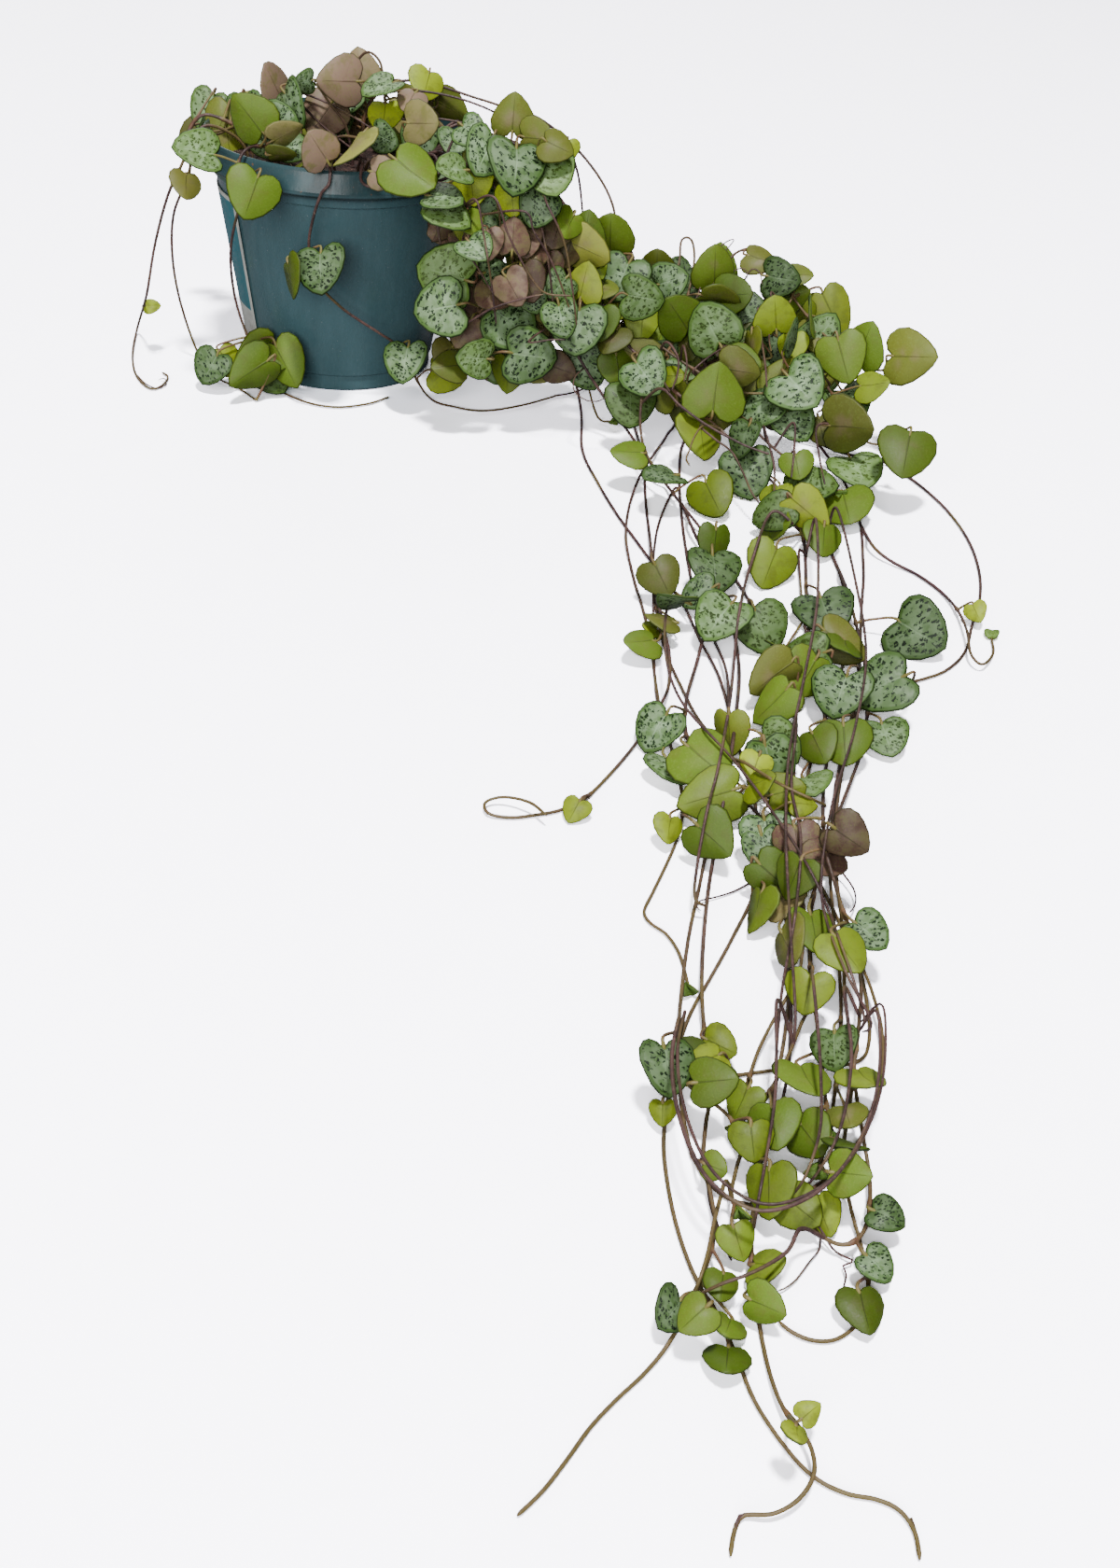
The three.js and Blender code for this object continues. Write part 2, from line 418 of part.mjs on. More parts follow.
// The place on a route that is nearest to a spot on the board.
function nearestOn(route, spot) {
  let best = 0;
  let least = Infinity;
  route.forEach((point, i) => {
    const [across, down] = spotOf(point);
    const off = Math.hypot(across - spot[0], down - spot[1]);
    if (off < least) {
      least = off;
      best = i;
    }
  });
  return route[best];
}

// The stem's way out of its hole and over the lip, then its listed spots, as points a step apart.
function routeOf(stem, laidRoutes) {
  const listed = [
    ...(stem.wall ?? []).map(onWall),
    ...(stem.air ?? []).map(inAir),
    ...(stem.heap ?? []).map(onHeap),
    ...(stem.ground ?? []).map(onGround),
  ];
  const points = [];
  if (stem.side) {
    const first = (stem.air ?? stem.heap ?? stem.ground)[0];
    points.push(nearestOn(laidRoutes.get(stem.side), first).clone());
    listed.shift();
  } else {
    points.push(onCircle(stem.hole, stem.turn, SOIL.top - HOLE.depth + 1.2));
    points.push(onCircle(stem.hole, stem.turn, SOIL.top + 3.5));
    if (!stem.free) {
      points.push(onCircle(Math.min(stem.hole + 5, 44), stem.turn, LIP_CROSSING - 4));
      points.push(onCircle(POT.lipRadius - 1, stem.turn, LIP_CROSSING));
      points.push(onCircle(POT.flangeRadius + 3.2, stem.turn, POT.lipBottom + 7));
    }
  }
  points.push(...listed);
  const curve = new THREE.CatmullRomCurve3(points, false, 'catmullrom', 0.5);
  return evenly(curve.getPoints((points.length - 1) * 16), STEM.step);
}

const toEye = (point) => EYE.clone().sub(point).normalize();

// The push that takes a point of a route clear of the nearest of some other points: towards the eye near the
// surface, and straight off the other stem higher up.
function pushOff(point, tangent, close) {
  const eyeward = toEye(point);
  if (point.z < LOW || close.length === 0) {
    let need = Math.max(0, (REST - point.z) / eyeward.z);
    for (const other of close) {
      const offset = other.clone().sub(point);
      const ahead = offset.dot(eyeward);
      const aside = Math.sqrt(Math.max(offset.lengthSq() - ahead * ahead, 0));
      need = Math.max(need, ahead + Math.sqrt(Math.max(CLEAR.stem ** 2 - aside ** 2, 0)) + 0.05);
    }
    return eyeward.multiplyScalar(need);
  }
  close.sort((a, b) => a.distanceTo(point) - b.distanceTo(point));
  const off = point.clone().sub(close[0]);
  const need = CLEAR.stem - off.length() + 0.1;
  off.addScaledVector(tangent, -off.dot(tangent));
  return (off.length() > 0.1 ? off.normalize() : eyeward).multiplyScalar(need);
}

// Lays a stem clear of what was laid before it, and of itself, in long low humps.
function laidOver(route, cloud) {
  const free = Math.ceil(12 / STEM.step);
  const apart = Math.ceil(10 / STEM.step);
  for (let round = 0; round < 24; round++) {
    const shift = route.map(() => new THREE.Vector3());
    const own = new Cloud(3);
    let most = 0;
    route.forEach((point, i) => {
      if (i < free) return;
      const close = [...cloud.near(point, CLEAR.stem),
        ...own.near(point, CLEAR.stem).filter((item) => i - item.order > apart)].map((item) => item.point);
      const ahead = route[Math.min(i + 1, route.length - 1)];
      const push = pushOff(point, ahead.clone().sub(route[i - 1]).normalize(), close);
      const need = push.length();
      own.add(point, 0, i);
      if (!need) return;
      most = Math.max(most, need);
      const half = Math.ceil((HUMP + 3 * need) / STEM.step);
      for (let j = Math.max(i - half, free); j <= Math.min(i + half, route.length - 1); j++) {
        const share = 0.5 + 0.5 * Math.cos((Math.PI * (j - i)) / half);
        if (need * share > shift[j].length()) shift[j].copy(push).multiplyScalar(share);
      }
    });
    if (most === 0) break;
    route.forEach((point, i) => point.add(shift[i]));
  }
  return route;
}

// ---------- leaf stalks and blades ----------

// Half of the heart's outline beside the notch, round the right lobe to the tip, for a length of 1.
const HEART = [[0.27, -0.17], [0.53, 0.14], [0.42, 0.64], [0, 1]];
const SMALL_HEART = [[0.36, -0.14], [0.5, 0.42], [0, 1]];

// The heart's points in its own frame: x across, y from notch to tip, z towards its upper side.
function heartPoint(x, y, leaf) {
  const { length } = leaf;
  const width = leaf.width * length;
  const lift = leaf.fold * Math.abs(x) * width - leaf.curl * length * (y - 0.35) ** 2;
  return leaf.notch.clone()
    .addScaledVector(leaf.across, x * width)
    .addScaledVector(leaf.midrib, y * length)
    .addScaledVector(leaf.upper, lift);
}

// The outline from the right of the stalk, round the tip, to the left of the stalk.
function bladeOutline(leaf) {
  const beside = STALK.radius / (leaf.width * leaf.length);
  const half = [[beside, 0], ...(leaf.length < BLADE.small ? SMALL_HEART : HEART)];
  const right = half.map(([x, y]) => heartPoint(x, y, leaf));
  const left = half.slice(0, -1).reverse().map(([x, y]) => heartPoint(-x, y, leaf));
  return [...right, ...left];
}

// How far the foot of the stalk lies behind the notch.
const footBehind = (leaf) => leaf.notch.clone().sub(leaf.foot).dot(leaf.midrib);

// The stalk leaves the stem and comes into the notch, with a bend behind the lobes where it needs one.
function stalkPoints(leaf) {
  const back = footBehind(leaf);
  if (back > STALK.straight * leaf.notch.distanceTo(leaf.foot)) return [leaf.notch, leaf.foot];
  const bend = leaf.notch.clone().addScaledVector(leaf.midrib, -Math.min(0.24 * leaf.length, 0.7 * back));
  return [leaf.notch, bend, leaf.foot];
}

// A folded heart of even thickness, split along the midrib, and its three-sided stalk, as one closed solid.
function leafGeometry(leaf) {
  const outline = bladeOutline(leaf);
  const count = outline.length;
  const tip = (count - 1) / 2;
  const half = (leaf.length < BLADE.small ? BLADE.smallThickness : BLADE.thickness) / 2;
  const shifted = (point, off) => point.clone().addScaledVector(leaf.upper, off);
  const points = outline.map((p) => shifted(p, half));
  points.push(...outline.slice(1, -1).map((p) => shifted(p, -half)), shifted(leaf.notch, -half));
  const below = (i) => (i === 0 || i === count - 1 ? 2 * count - 2 : count + i - 1);
  const faces = [];
  const face = (a, b, c) => faces.push(a, b, c, below(a), below(c), below(b));
  for (let i = 1; i < tip; i++) face(0, i, i + 1);
  faces.push(0, tip, count - 1);
  for (let i = tip; i < count - 2; i++) face(count - 1, i, i + 1);
  for (let i = 0; i < count - 1; i++) {
    faces.push(i, below(i), below(i + 1), i, below(i + 1), i + 1);
  }
  let ring = [0, count - 1, below(0)];
  const path = stalkPoints(leaf);
  const ways = path.slice(1).map((point, i) => path[i].clone().sub(point).normalize());
  path.slice(1).forEach((point, i) => {
    const radius = i === ways.length - 1 ? STALK.footRadius : STALK.radius;
    const way = ways[i].clone().add(ways[i + 1] ?? ways[i]).normalize();
    const side = leaf.across.clone().addScaledVector(way, -way.dot(leaf.across)).normalize();
    const up = side.clone().cross(way);
    const next = [[1, 0.6], [-1, 0.6], [0, -1]].map(([a, b]) => {
      points.push(point.clone().addScaledVector(side, a * radius).addScaledVector(up, b * radius));
      return points.length - 1;
    });
    for (let k = 0; k < 3; k++) {
      const [a, b] = [ring[k], ring[(k + 1) % 3]];
      const [c, d] = [next[k], next[(k + 1) % 3]];
      faces.push(a, b, d, a, d, c);
    }
    ring = next;
  });
  faces.push(...ring);
  return facets(points, faces);
}

// A tube of a few sides through points, closed at both ends.
function tubeGeometry(points, radiusAt, sides) {
  const rings = [];
  let side = null;
  points.forEach((point, i) => {
    const before = points[Math.max(i - 1, 0)];
    const after = points[Math.min(i + 1, points.length - 1)];
    const tangent = after.clone().sub(before).normalize();
    if (!side) {
      const other = Math.abs(tangent.z) > 0.9 ? new THREE.Vector3(1, 0, 0) : new THREE.Vector3(0, 0, 1);
      side = other.cross(tangent).normalize();
    }
    side.addScaledVector(tangent, -side.dot(tangent)).normalize();
    const up = tangent.clone().cross(side);
    for (let k = 0; k < sides; k++) {
      const angle = (2 * Math.PI * k) / sides;
      rings.push(point.clone()
        .addScaledVector(side, radiusAt(i) * Math.cos(angle))
        .addScaledVector(up, radiusAt(i) * Math.sin(angle)));
    }
  });
  const faces = [];
  const last = (points.length - 1) * sides;
  for (let k = 1; k < sides - 1; k++) {
    faces.push(0, k + 1, k);
    faces.push(last, last + k, last + k + 1);
  }
  for (let i = 0; i < last; i += sides) {
    for (let k = 0; k < sides; k++) {
      const a = i + k;
      const b = i + ((k + 1) % sides);
      faces.push(a, b, b + sides, a, b + sides, a + sides);
    }
  }
  return facets(rings, faces);
}

// Points spread over a blade and its stalk, for finding room.
function leafCloud(leaf) {
  const outline = bladeOutline(leaf);
  const points = [];
  for (let i = 1; i < outline.length - 1; i++) {
    const [a, b, c] = [outline[0], outline[i], outline[i + 1]];
    const rows = Math.ceil(Math.max(a.distanceTo(b), a.distanceTo(c), b.distanceTo(c)) / BLADE.grid);
    for (let u = 0; u <= rows; u++) {
      for (let v = 0; v <= rows - u; v++) {
        points.push(a.clone().multiplyScalar(1 - (u + v) / rows)
          .addScaledVector(b, u / rows).addScaledVector(c, v / rows));
      }
    }
  }
  const stalk = evenly(stalkPoints(leaf), STEM.step);
  return { points, stalk };
}

// ---------- placing the leaves ----------

// The places where a leaf could grow: on each stem the one nearest to the leaf's notch on the board, with
// the near stems, and those in front, before the others.
function growingPlaces(spot, stems) {
  const found = stems.map(({ places }) => {
    let best = { off: Infinity };
    for (const item of places) {
      const off = Math.hypot(item.spot[0] - spot[0], item.spot[1] - spot[1]);
      if (off < best.off) best = { ...item, off };
    }
    return best;
  });
  const least = Math.min(...found.map(({ off }) => off));
  const close = found.filter(({ off }) => off < least + STALK.reach);
  const front = Math.min(...close.map(({ point }) => point.distanceTo(EYE)));
  const rank = ({ off, point }) => off + point.distanceTo(EYE) - front;
  return close.sort((a, b) => rank(a) - rank(b)).slice(0, STALK.places);
}

// The board's way down, turned to the right by an angle, at a point in space.
function boardWay(point, degrees) {
  const eyeward = toEye(point);
  const angle = degToRad(degrees) + roll;
  const way = boardRight.clone().multiplyScalar(Math.sin(angle)).addScaledVector(boardUp, -Math.cos(angle));
  return way.addScaledVector(eyeward, -way.dot(eyeward)).normalize();
}

// Roughly where on the board a leaf's stalk begins, behind its notch.
function notchSpot({ spot, length, turn }) {
  const way = degToRad(turn);
  const unit = onGround([...spot, 0]).distanceTo(EYE) / BOARD.distance;
  const back = (0.4 * length + 3) / unit;
  return [spot[0] - Math.sin(way) * back, spot[1] - Math.cos(way) * back];
}

// One way of setting a leaf: turned, tipped and moved towards the eye by seeded amounts. A leaf near the
// surface also lies back towards it, the more the later the try.
function leafTry(entry, place, random, number) {
  const { kind, spot, length, turn, lean } = entry;
  const late = number / TRIES;
  const way = turn + (random() - 0.5) * (20 + 50 * late);
  const tip = degToRad((random() - 0.5) * (44 + 30 * late));
  const yaw = degToRad(lean + (random() - 0.5) * (60 + 30 * late));
  const low = place.point.z < LOW;
  const nearer = 2 + random() * 3;
  const back = low ? degToRad(random() * 25 + late * 42) : degToRad((random() - 0.3) * 30);
  const aside = () => (random() - 0.5) * 26 * late;
  const ray = sight(spot[0] + aside(), spot[1] + aside());
  const centre = along(ray, place.point.distanceTo(EYE) - nearer);
  const eyeward = ray.clone().negate();
  const downward = boardWay(centre, way);
  const midrib = downward.clone().multiplyScalar(Math.cos(tip)).addScaledVector(eyeward, Math.sin(tip));
  const facing = eyeward.clone().multiplyScalar(Math.cos(tip)).addScaledVector(downward, -Math.sin(tip));
  facing.applyAxisAngle(midrib, yaw);
  facing.applyAxisAngle(boardRight, -back);
  midrib.applyAxisAngle(boardRight, -back);
  const upper = facing.multiplyScalar(kind === 'marbled' ? 1 : -1);
  const leaf = {
    kind,
    length,
    width: 1.06 + 0.14 * random(),
    fold: 0.1 + 0.25 * random(),
    curl: -0.05 + 0.3 * random(),
    midrib,
    upper,
    across: midrib.clone().cross(upper),
    notch: centre.clone().addScaledVector(midrib, -0.4 * length),
    foot: place.point,
  };
  const reach = leaf.notch.distanceTo(leaf.foot);
  if (reach > STALK.longest) leaf.notch.lerp(leaf.foot, 1 - STALK.longest / reach);
  const lowest = Math.min(...bladeOutline(leaf).map((p) => p.z));
  if (lowest < CLEAR.floor) leaf.notch.addScaledVector(eyeward, (CLEAR.floor - lowest) / eyeward.z);
  return leaf;
}

// Whether a leaf and its stalk keep their gaps to the pot, the surface and all that grew before.
function hasRoom(leaf, place, cloud) {
  if (footBehind(leaf) < STALK.least) return false;
  const free = (point, gap, ownGap) => clearOfPot(point, CLEAR.pot)
    && cloud.near(point, gap).every((item) => item.owner === place.owner
      && (item.point.distanceTo(place.point) < OWN_STEM || item.point.distanceTo(point) > ownGap));
  const { points, stalk } = leafCloud(leaf);
  return points.every((point) => free(point, CLEAR.leaf, CLEAR.ownLeaf))
    && stalk.every((point) => point.distanceTo(leaf.foot) < 1.2
      || (point.z > CLEAR.floor && free(point, CLEAR.stalk, CLEAR.ownStalk)));
}

// Moves a leaf towards the eye by a few steps, until it has room.
function raisedClear(leaf, place, cloud) {
  for (let step = 0; step < RISE.steps; step++) {
    if (hasRoom(leaf, place, cloud)) return true;
    leaf.notch.addScaledVector(toEye(leaf.notch), RISE.step);
  }
  return false;
}

// Every listed leaf, from the top of the board down, with the large ones before the others.
function growLeaves(stems) {
  const cloud = new Cloud(3);
  for (const { steps, owner } of stems) steps.forEach((point) => cloud.add(point, owner));
  const grown = new Map(stems.map(({ owner }) => [owner, []]));
  const entries = Object.entries(LEAVES).flatMap(([kind, rows]) => rows.map(
    ([across, down, length, turn, lean = 0]) => (
      { kind, spot: [across, down], length: LEAF_SCALE * length, turn, lean })));
  const later = ({ length }) => Number(length < BLADE.large);
  entries.sort((a, b) => later(a) - later(b) || a.spot[1] - b.spot[1] || a.spot[0] - b.spot[0]);
  entries.forEach((entry, number) => {
    const random = draws(SEED + 101 * number);
    const growing = growingPlaces(notchSpot(entry), stems);
    for (let k = 0; k < SIZES * growing.length * TRIES; k++) {
      const place = growing[Math.floor(k / TRIES) % growing.length];
      const length = entry.length * SMALLER ** Math.floor(k / (TRIES * growing.length));
      const leaf = leafTry({ ...entry, length }, place, random, k % TRIES);
      if (!raisedClear(leaf, place, cloud)) continue;
      const { points, stalk } = leafCloud(leaf);
      [...points, ...stalk].forEach((p) => cloud.add(p, place.owner));
      grown.get(place.owner).push(leaf);
      return;
    }
  });
  return grown;
}

// ---------- solids ----------

// How much more closely a stem keeps to its route at a point: twice as closely round the soil and the lip.
const strictness = (point) => (Math.hypot(point.x, point.y) < 64 && point.z > 76 ? 2 : 1);

// The fewest of a route's points that keep its shape.
function thinned(points) {
  if (points.length < 3) return points;
  const [from, to] = [points[0], points[points.length - 1]];
  const chord = new THREE.Line3(from, to);
  const foot = new THREE.Vector3();
  let worst = 0;
  let at = 0;
  points.forEach((point, i) => {
    chord.closestPointToPoint(point, true, foot);
    const off = foot.distanceTo(point) * strictness(point);
    if (off > worst) {
      worst = off;
      at = i;
    }
  });
  if (worst <= STEM.chordError) return [from, to];
  return [...thinned(points.slice(0, at + 1)).slice(0, -1), ...thinned(points.slice(at))];
}

function stemTube(points) {
  const radiusAt = (i) => THREE.MathUtils.lerp(STEM.radius, STEM.tipRadius, i / (points.length - 1));
  return tubeGeometry(points, radiusAt, STEM.sides);
}

function potGeometry() {
  const { wall, floor, height } = POT;
  const wallAt = (z) => wallRadius(z) - wall;
  let pot = solidOf(turned([
    [0, 0],
    [POT.footRadius, 0],
    [POT.footRadius, POT.footHeight],
    [POT.wallFoot, POT.footHeight + 0.6],
    [POT.wallTop, POT.bandBottom],
    [POT.bandRadius, POT.bandBottom + 0.8],
    [POT.bandRadius, POT.lipBottom],
    [POT.flangeRadius, POT.lipBottom],
    [POT.flangeRadius, POT.lipBottom + 2],
    [POT.lipRadius, height],
    [POT.lipRadius - wall, height],
    [POT.bandRadius - wall + 1.6, POT.lipBottom + 1.4],
    [wallAt(POT.bandBottom), POT.bandBottom],
    [POT.footRadius - wall, floor],
    [0, floor],
  ]));
  for (let i = 0; i < DRAIN.holes; i++) {
    const hole = new THREE.CylinderGeometry(DRAIN.radius, DRAIN.radius, 4 * floor, DRAIN.sides)
      .rotateX(Math.PI / 2);
    hole.translate(...onCircle(DRAIN.ring, (360 * i) / DRAIN.holes, floor / 2).toArray());
    pot = pot.subtract(solidOf(hole));
  }
  return geometryOf(pot);
}

// The soil stands a gap clear of the pot, with a slightly uneven top and a plain hole for each stem.
function soilGeometry() {
  const wallAt = (z) => wallRadius(z) - POT.wall - GAP;
  const body = turned([
    [0, POT.floor + GAP],
    [POT.footRadius - POT.wall - GAP, POT.floor + GAP],
    [wallAt(POT.bandBottom), POT.bandBottom],
    [wallAt(POT.bandBottom) + 0.8, SOIL.top - 0.8],
    [38, SOIL.top + 0.4],
    [0, SOIL.top + SOIL.crown],
  ]);
  const position = body.getAttribute('position');
  for (let i = 0; i < position.count; i++) {
    const [x, y, z] = [position.getX(i), position.getY(i), position.getZ(i)];
    if (z > SOIL.top - 0.1 && Math.hypot(x, y) > 1) {
      position.setZ(i, z + SOIL.bump * Math.sin(0.21 * x + 1.3) * Math.cos(0.17 * y - 0.6));
    }
  }
  let soil = solidOf(body);
  for (const stem of mains) {
    const hole = new THREE.CylinderGeometry(HOLE.radius, HOLE.radius, HOLE.depth + 4, HOLE.sides)
      .rotateX(Math.PI / 2);
    hole.translate(...onCircle(stem.hole, stem.turn, SOIL.top + 2 - HOLE.depth / 2 + 0.9).toArray());
    soil = soil.subtract(solidOf(hole));
  }
  return geometryOf(soil);
}

// A thin stuck-on label that follows the pot's tapering wall.
function labelGeometry() {
  const { bottom, top, from, to, steps, thickness } = LABEL;
  const points = [];
  for (let i = 0; i <= steps; i++) {
    const angle = from + ((to - from) * i) / steps;
    for (const [off, height] of [[GAP, bottom], [GAP + thickness, bottom], [GAP + thickness, top], [GAP, top]]) {
      points.push(onCircle(wallRadius(height) + 0.1 + off, angle, height));
    }
  }
  const faces = [0, 1, 2, 0, 2, 3];
  const last = 4 * steps;
  faces.push(last, last + 2, last + 1, last, last + 3, last + 2);
  for (let i = 0; i < last; i += 4) {
    for (let k = 0; k < 4; k++) {
      const a = i + k;
      const b = i + ((k + 1) % 4);
      faces.push(a, b + 4, b, a, a + 4, b + 4);
    }
  }
  return facets(points, faces);
}

// ---------- the plant ----------

const PAINT = {
  pot: new THREE.MeshStandardMaterial({ color: 0x2c4f58, roughness: 0.32, metalness: 0 }),
  soil: new THREE.MeshStandardMaterial({ color: 0x3c2820, roughness: 0.95, metalness: 0 }),
  label: new THREE.MeshStandardMaterial({ color: 0x0a808c, roughness: 0.4, metalness: 0 }),
  plant: new THREE.MeshStandardMaterial({ color: 0x8fa982, roughness: 0.55, metalness: 0 }),
};

const plant = new THREE.Group();

function place(name, geometry, material) {
  const mesh = new THREE.Mesh(geometry, material);
  mesh.name = name;
  plant.add(mesh);
}

const laid = new Cloud(3);
const mains = STEMS.filter((stem) => !stem.side);
const stems = [];
const routes = new Map();
for (const stem of [...mains, ...STEMS.filter((each) => each.side)]) {
  const owner = mains.findIndex((each) => each.name === (stem.side ?? stem.name));
  const route = laidOver(routeOf(stem, routes), laid);
  route.forEach((point) => laid.add(point));
  const bends = thinned(route);
  const steps = evenly(bends, STEM.step);
  routes.set(stem.name, steps);
  const bare = Math.ceil((stem.side ? BARE.side : BARE.main) / STEM.step);
  const places = steps.slice(bare).map((point) => ({ spot: spotOf(point), point, owner }));
  stems.push({ bends, owner, steps, places });
}
const leaves = growLeaves(stems);

place('nursery_pot', potGeometry(), PAINT.pot);
place('potting_soil', soilGeometry(), PAINT.soil);
place('pot_label', labelGeometry(), PAINT.label);
mains.forEach((stem, owner) => {
  const tubes = stems.filter((each) => each.owner === owner).map(({ bends }) => stemTube(bends));
  const hearts = leaves.get(owner).map(leafGeometry);
  const solid = wasm.Manifold.union([...tubes, ...hearts].map(solidOf));
  place(`stem_${stem.name}`, geometryOf(solid), PAINT.plant);
});

export default plant;
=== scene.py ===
"""A string of hearts trailing out of its green nursery pot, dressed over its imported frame."""

import math
from itertools import product

import bpy
import numpy as np
from mathutils import Matrix, Vector, kdtree, noise


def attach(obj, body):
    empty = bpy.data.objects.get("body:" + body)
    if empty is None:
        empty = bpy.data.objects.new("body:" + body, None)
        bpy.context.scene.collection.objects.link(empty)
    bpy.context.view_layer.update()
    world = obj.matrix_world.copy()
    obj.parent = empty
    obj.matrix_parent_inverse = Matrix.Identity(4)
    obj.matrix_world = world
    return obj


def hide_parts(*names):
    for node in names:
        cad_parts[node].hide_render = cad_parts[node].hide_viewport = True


bl_info = {
    "name": "String of Hearts in Nursery Pot",
    "version": (1, 0, 0),
    "blender": (4, 5, 0),
    "location": "3D View > Sidebar > Hearts",
    "description": "Builds a trailing string of hearts plant in its nursery pot",
    "category": "Object",
}

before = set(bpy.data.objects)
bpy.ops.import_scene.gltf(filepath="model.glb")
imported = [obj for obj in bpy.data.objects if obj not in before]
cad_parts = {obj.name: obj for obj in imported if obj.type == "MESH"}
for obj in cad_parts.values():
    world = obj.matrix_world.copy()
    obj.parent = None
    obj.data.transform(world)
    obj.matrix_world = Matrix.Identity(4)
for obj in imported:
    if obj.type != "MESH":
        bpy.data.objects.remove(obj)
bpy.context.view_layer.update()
MM = 0.001
BODY = "root"

# ---------- the frame's own measures, mm ----------

POT = {
    "foot_height": 6.7, "wall_foot": 38.8, "wall_top": 50, "band_bottom": 79, "lip_bottom": 84,
    "flange_radius": 57, "lip_radius": 54.5,
}
SOIL_TOP = 83.2
HOLE_DEPTH = 7
HOLE_RISE = 3.5  # how far a stem rises straight from its hole
LIP_CROSSING = 97.4
REST = 0.9  # height of a stem's axis where it lies on the surface
STEM_STEP = 1.5
CHORD_ERROR = 1.0
STEM_CLEAR = 3.55
FLOOR_CLEAR = 0.8
HUMP = 13  # half the length of the hump where a stem passes over another
ROOTED = 12  # length of a stem that stays as it is in its hole
OWN_LENGTH = 10  # how far along a stem its own loops count as near
LAYING_ROUNDS = 24
POT_REACH = (64, 76)  # radius and height of the place at the lip where stems keep closer to their routes
LONGEST_STALK = 15
STALK_REACH = 30
STALK_PLACES = 4
SMALL_BLADE = 14.5
LARGE_BLADE = 15
CURL_MIDDLE = 0.35  # where along a leaf its curl is level
BLADE = {"small": 0.75, "large": 1.0}  # thickness
LEAF_SCALE = 0.88  # from a leaf's listed length, lobes to tip, to its length from notch to tip
BARE = {"main": 16, "side": 6}  # length of a stem before its first leaf
SEED = 1978
TRIES = 28  # ways of setting a leaf, from each growing place and at each size
RISE = 1.7  # each way is moved towards the eye by this much, up to RISES times
RISES = 8
SIZES = 3
SMALLER = 0.88  # share of its length that a leaf keeps from one size to the next
LOW = 24  # height under which stems and leaves give way towards the eye
TIP_MATCH = 0.02  # how near the frame's leaf tip must lie to a try's

# What the frame leaves out, mm: how fine runners pass leaves, and where more leaves take their draws from.
OVER_LEAF = 1.6
UNDER_LEAF = 1.1
RUNNER_REST = 0.7
LOOSE_RUNNER = 8  # height over the surface from which a runner hangs between stems
RUNNER_STEP = 1.8
EASING_ROUNDS = 14
HIDING_WIDTH = 1.08  # a leaf's width where it hides runners, as a share of its own
TIPS_FROM = (640, 1400)  # stems that end left of this spot on the board, or below it, have bare tips
TIP_SEED = 9000
FILLER_SEED = 5100
FILLER_NUMBER = 6000

# The sighting board: a flat frame, 1200 x 1680 units, that an eye in front of and above the plant
# looks through. A spot on it is carried along its line of sight to where its stem or leaf lies.
EYE = (111.8, -700.0, 280.0)
BOARD_MIDDLE = (600, 840)
BOARD_HEIGHT = 1680
BOARD_DISTANCE = 1810
OFF_BOARD = (-9, -9)
PITCH = math.radians(35.303)
ROLL = math.radians(5.275)
FILM = 36  # height of the camera's film
HEAP_TOE = -128  # where the heap's slope starts along Y
HEAP_SLOPE = 0.5


def rooted(name, turn, hole, **spots):
    """A main stem: the angle round the pot where it crosses the lip, the radius of its hole in the soil, and its
    spots on the board. A free one stays inside the lip."""
    return {"name": name, "turn": turn, "hole": hole, **spots}


def forked(name, side, **spots):
    """A side stem, with the main stem that it grows from."""
    return {"name": name, "side": side, **spots}


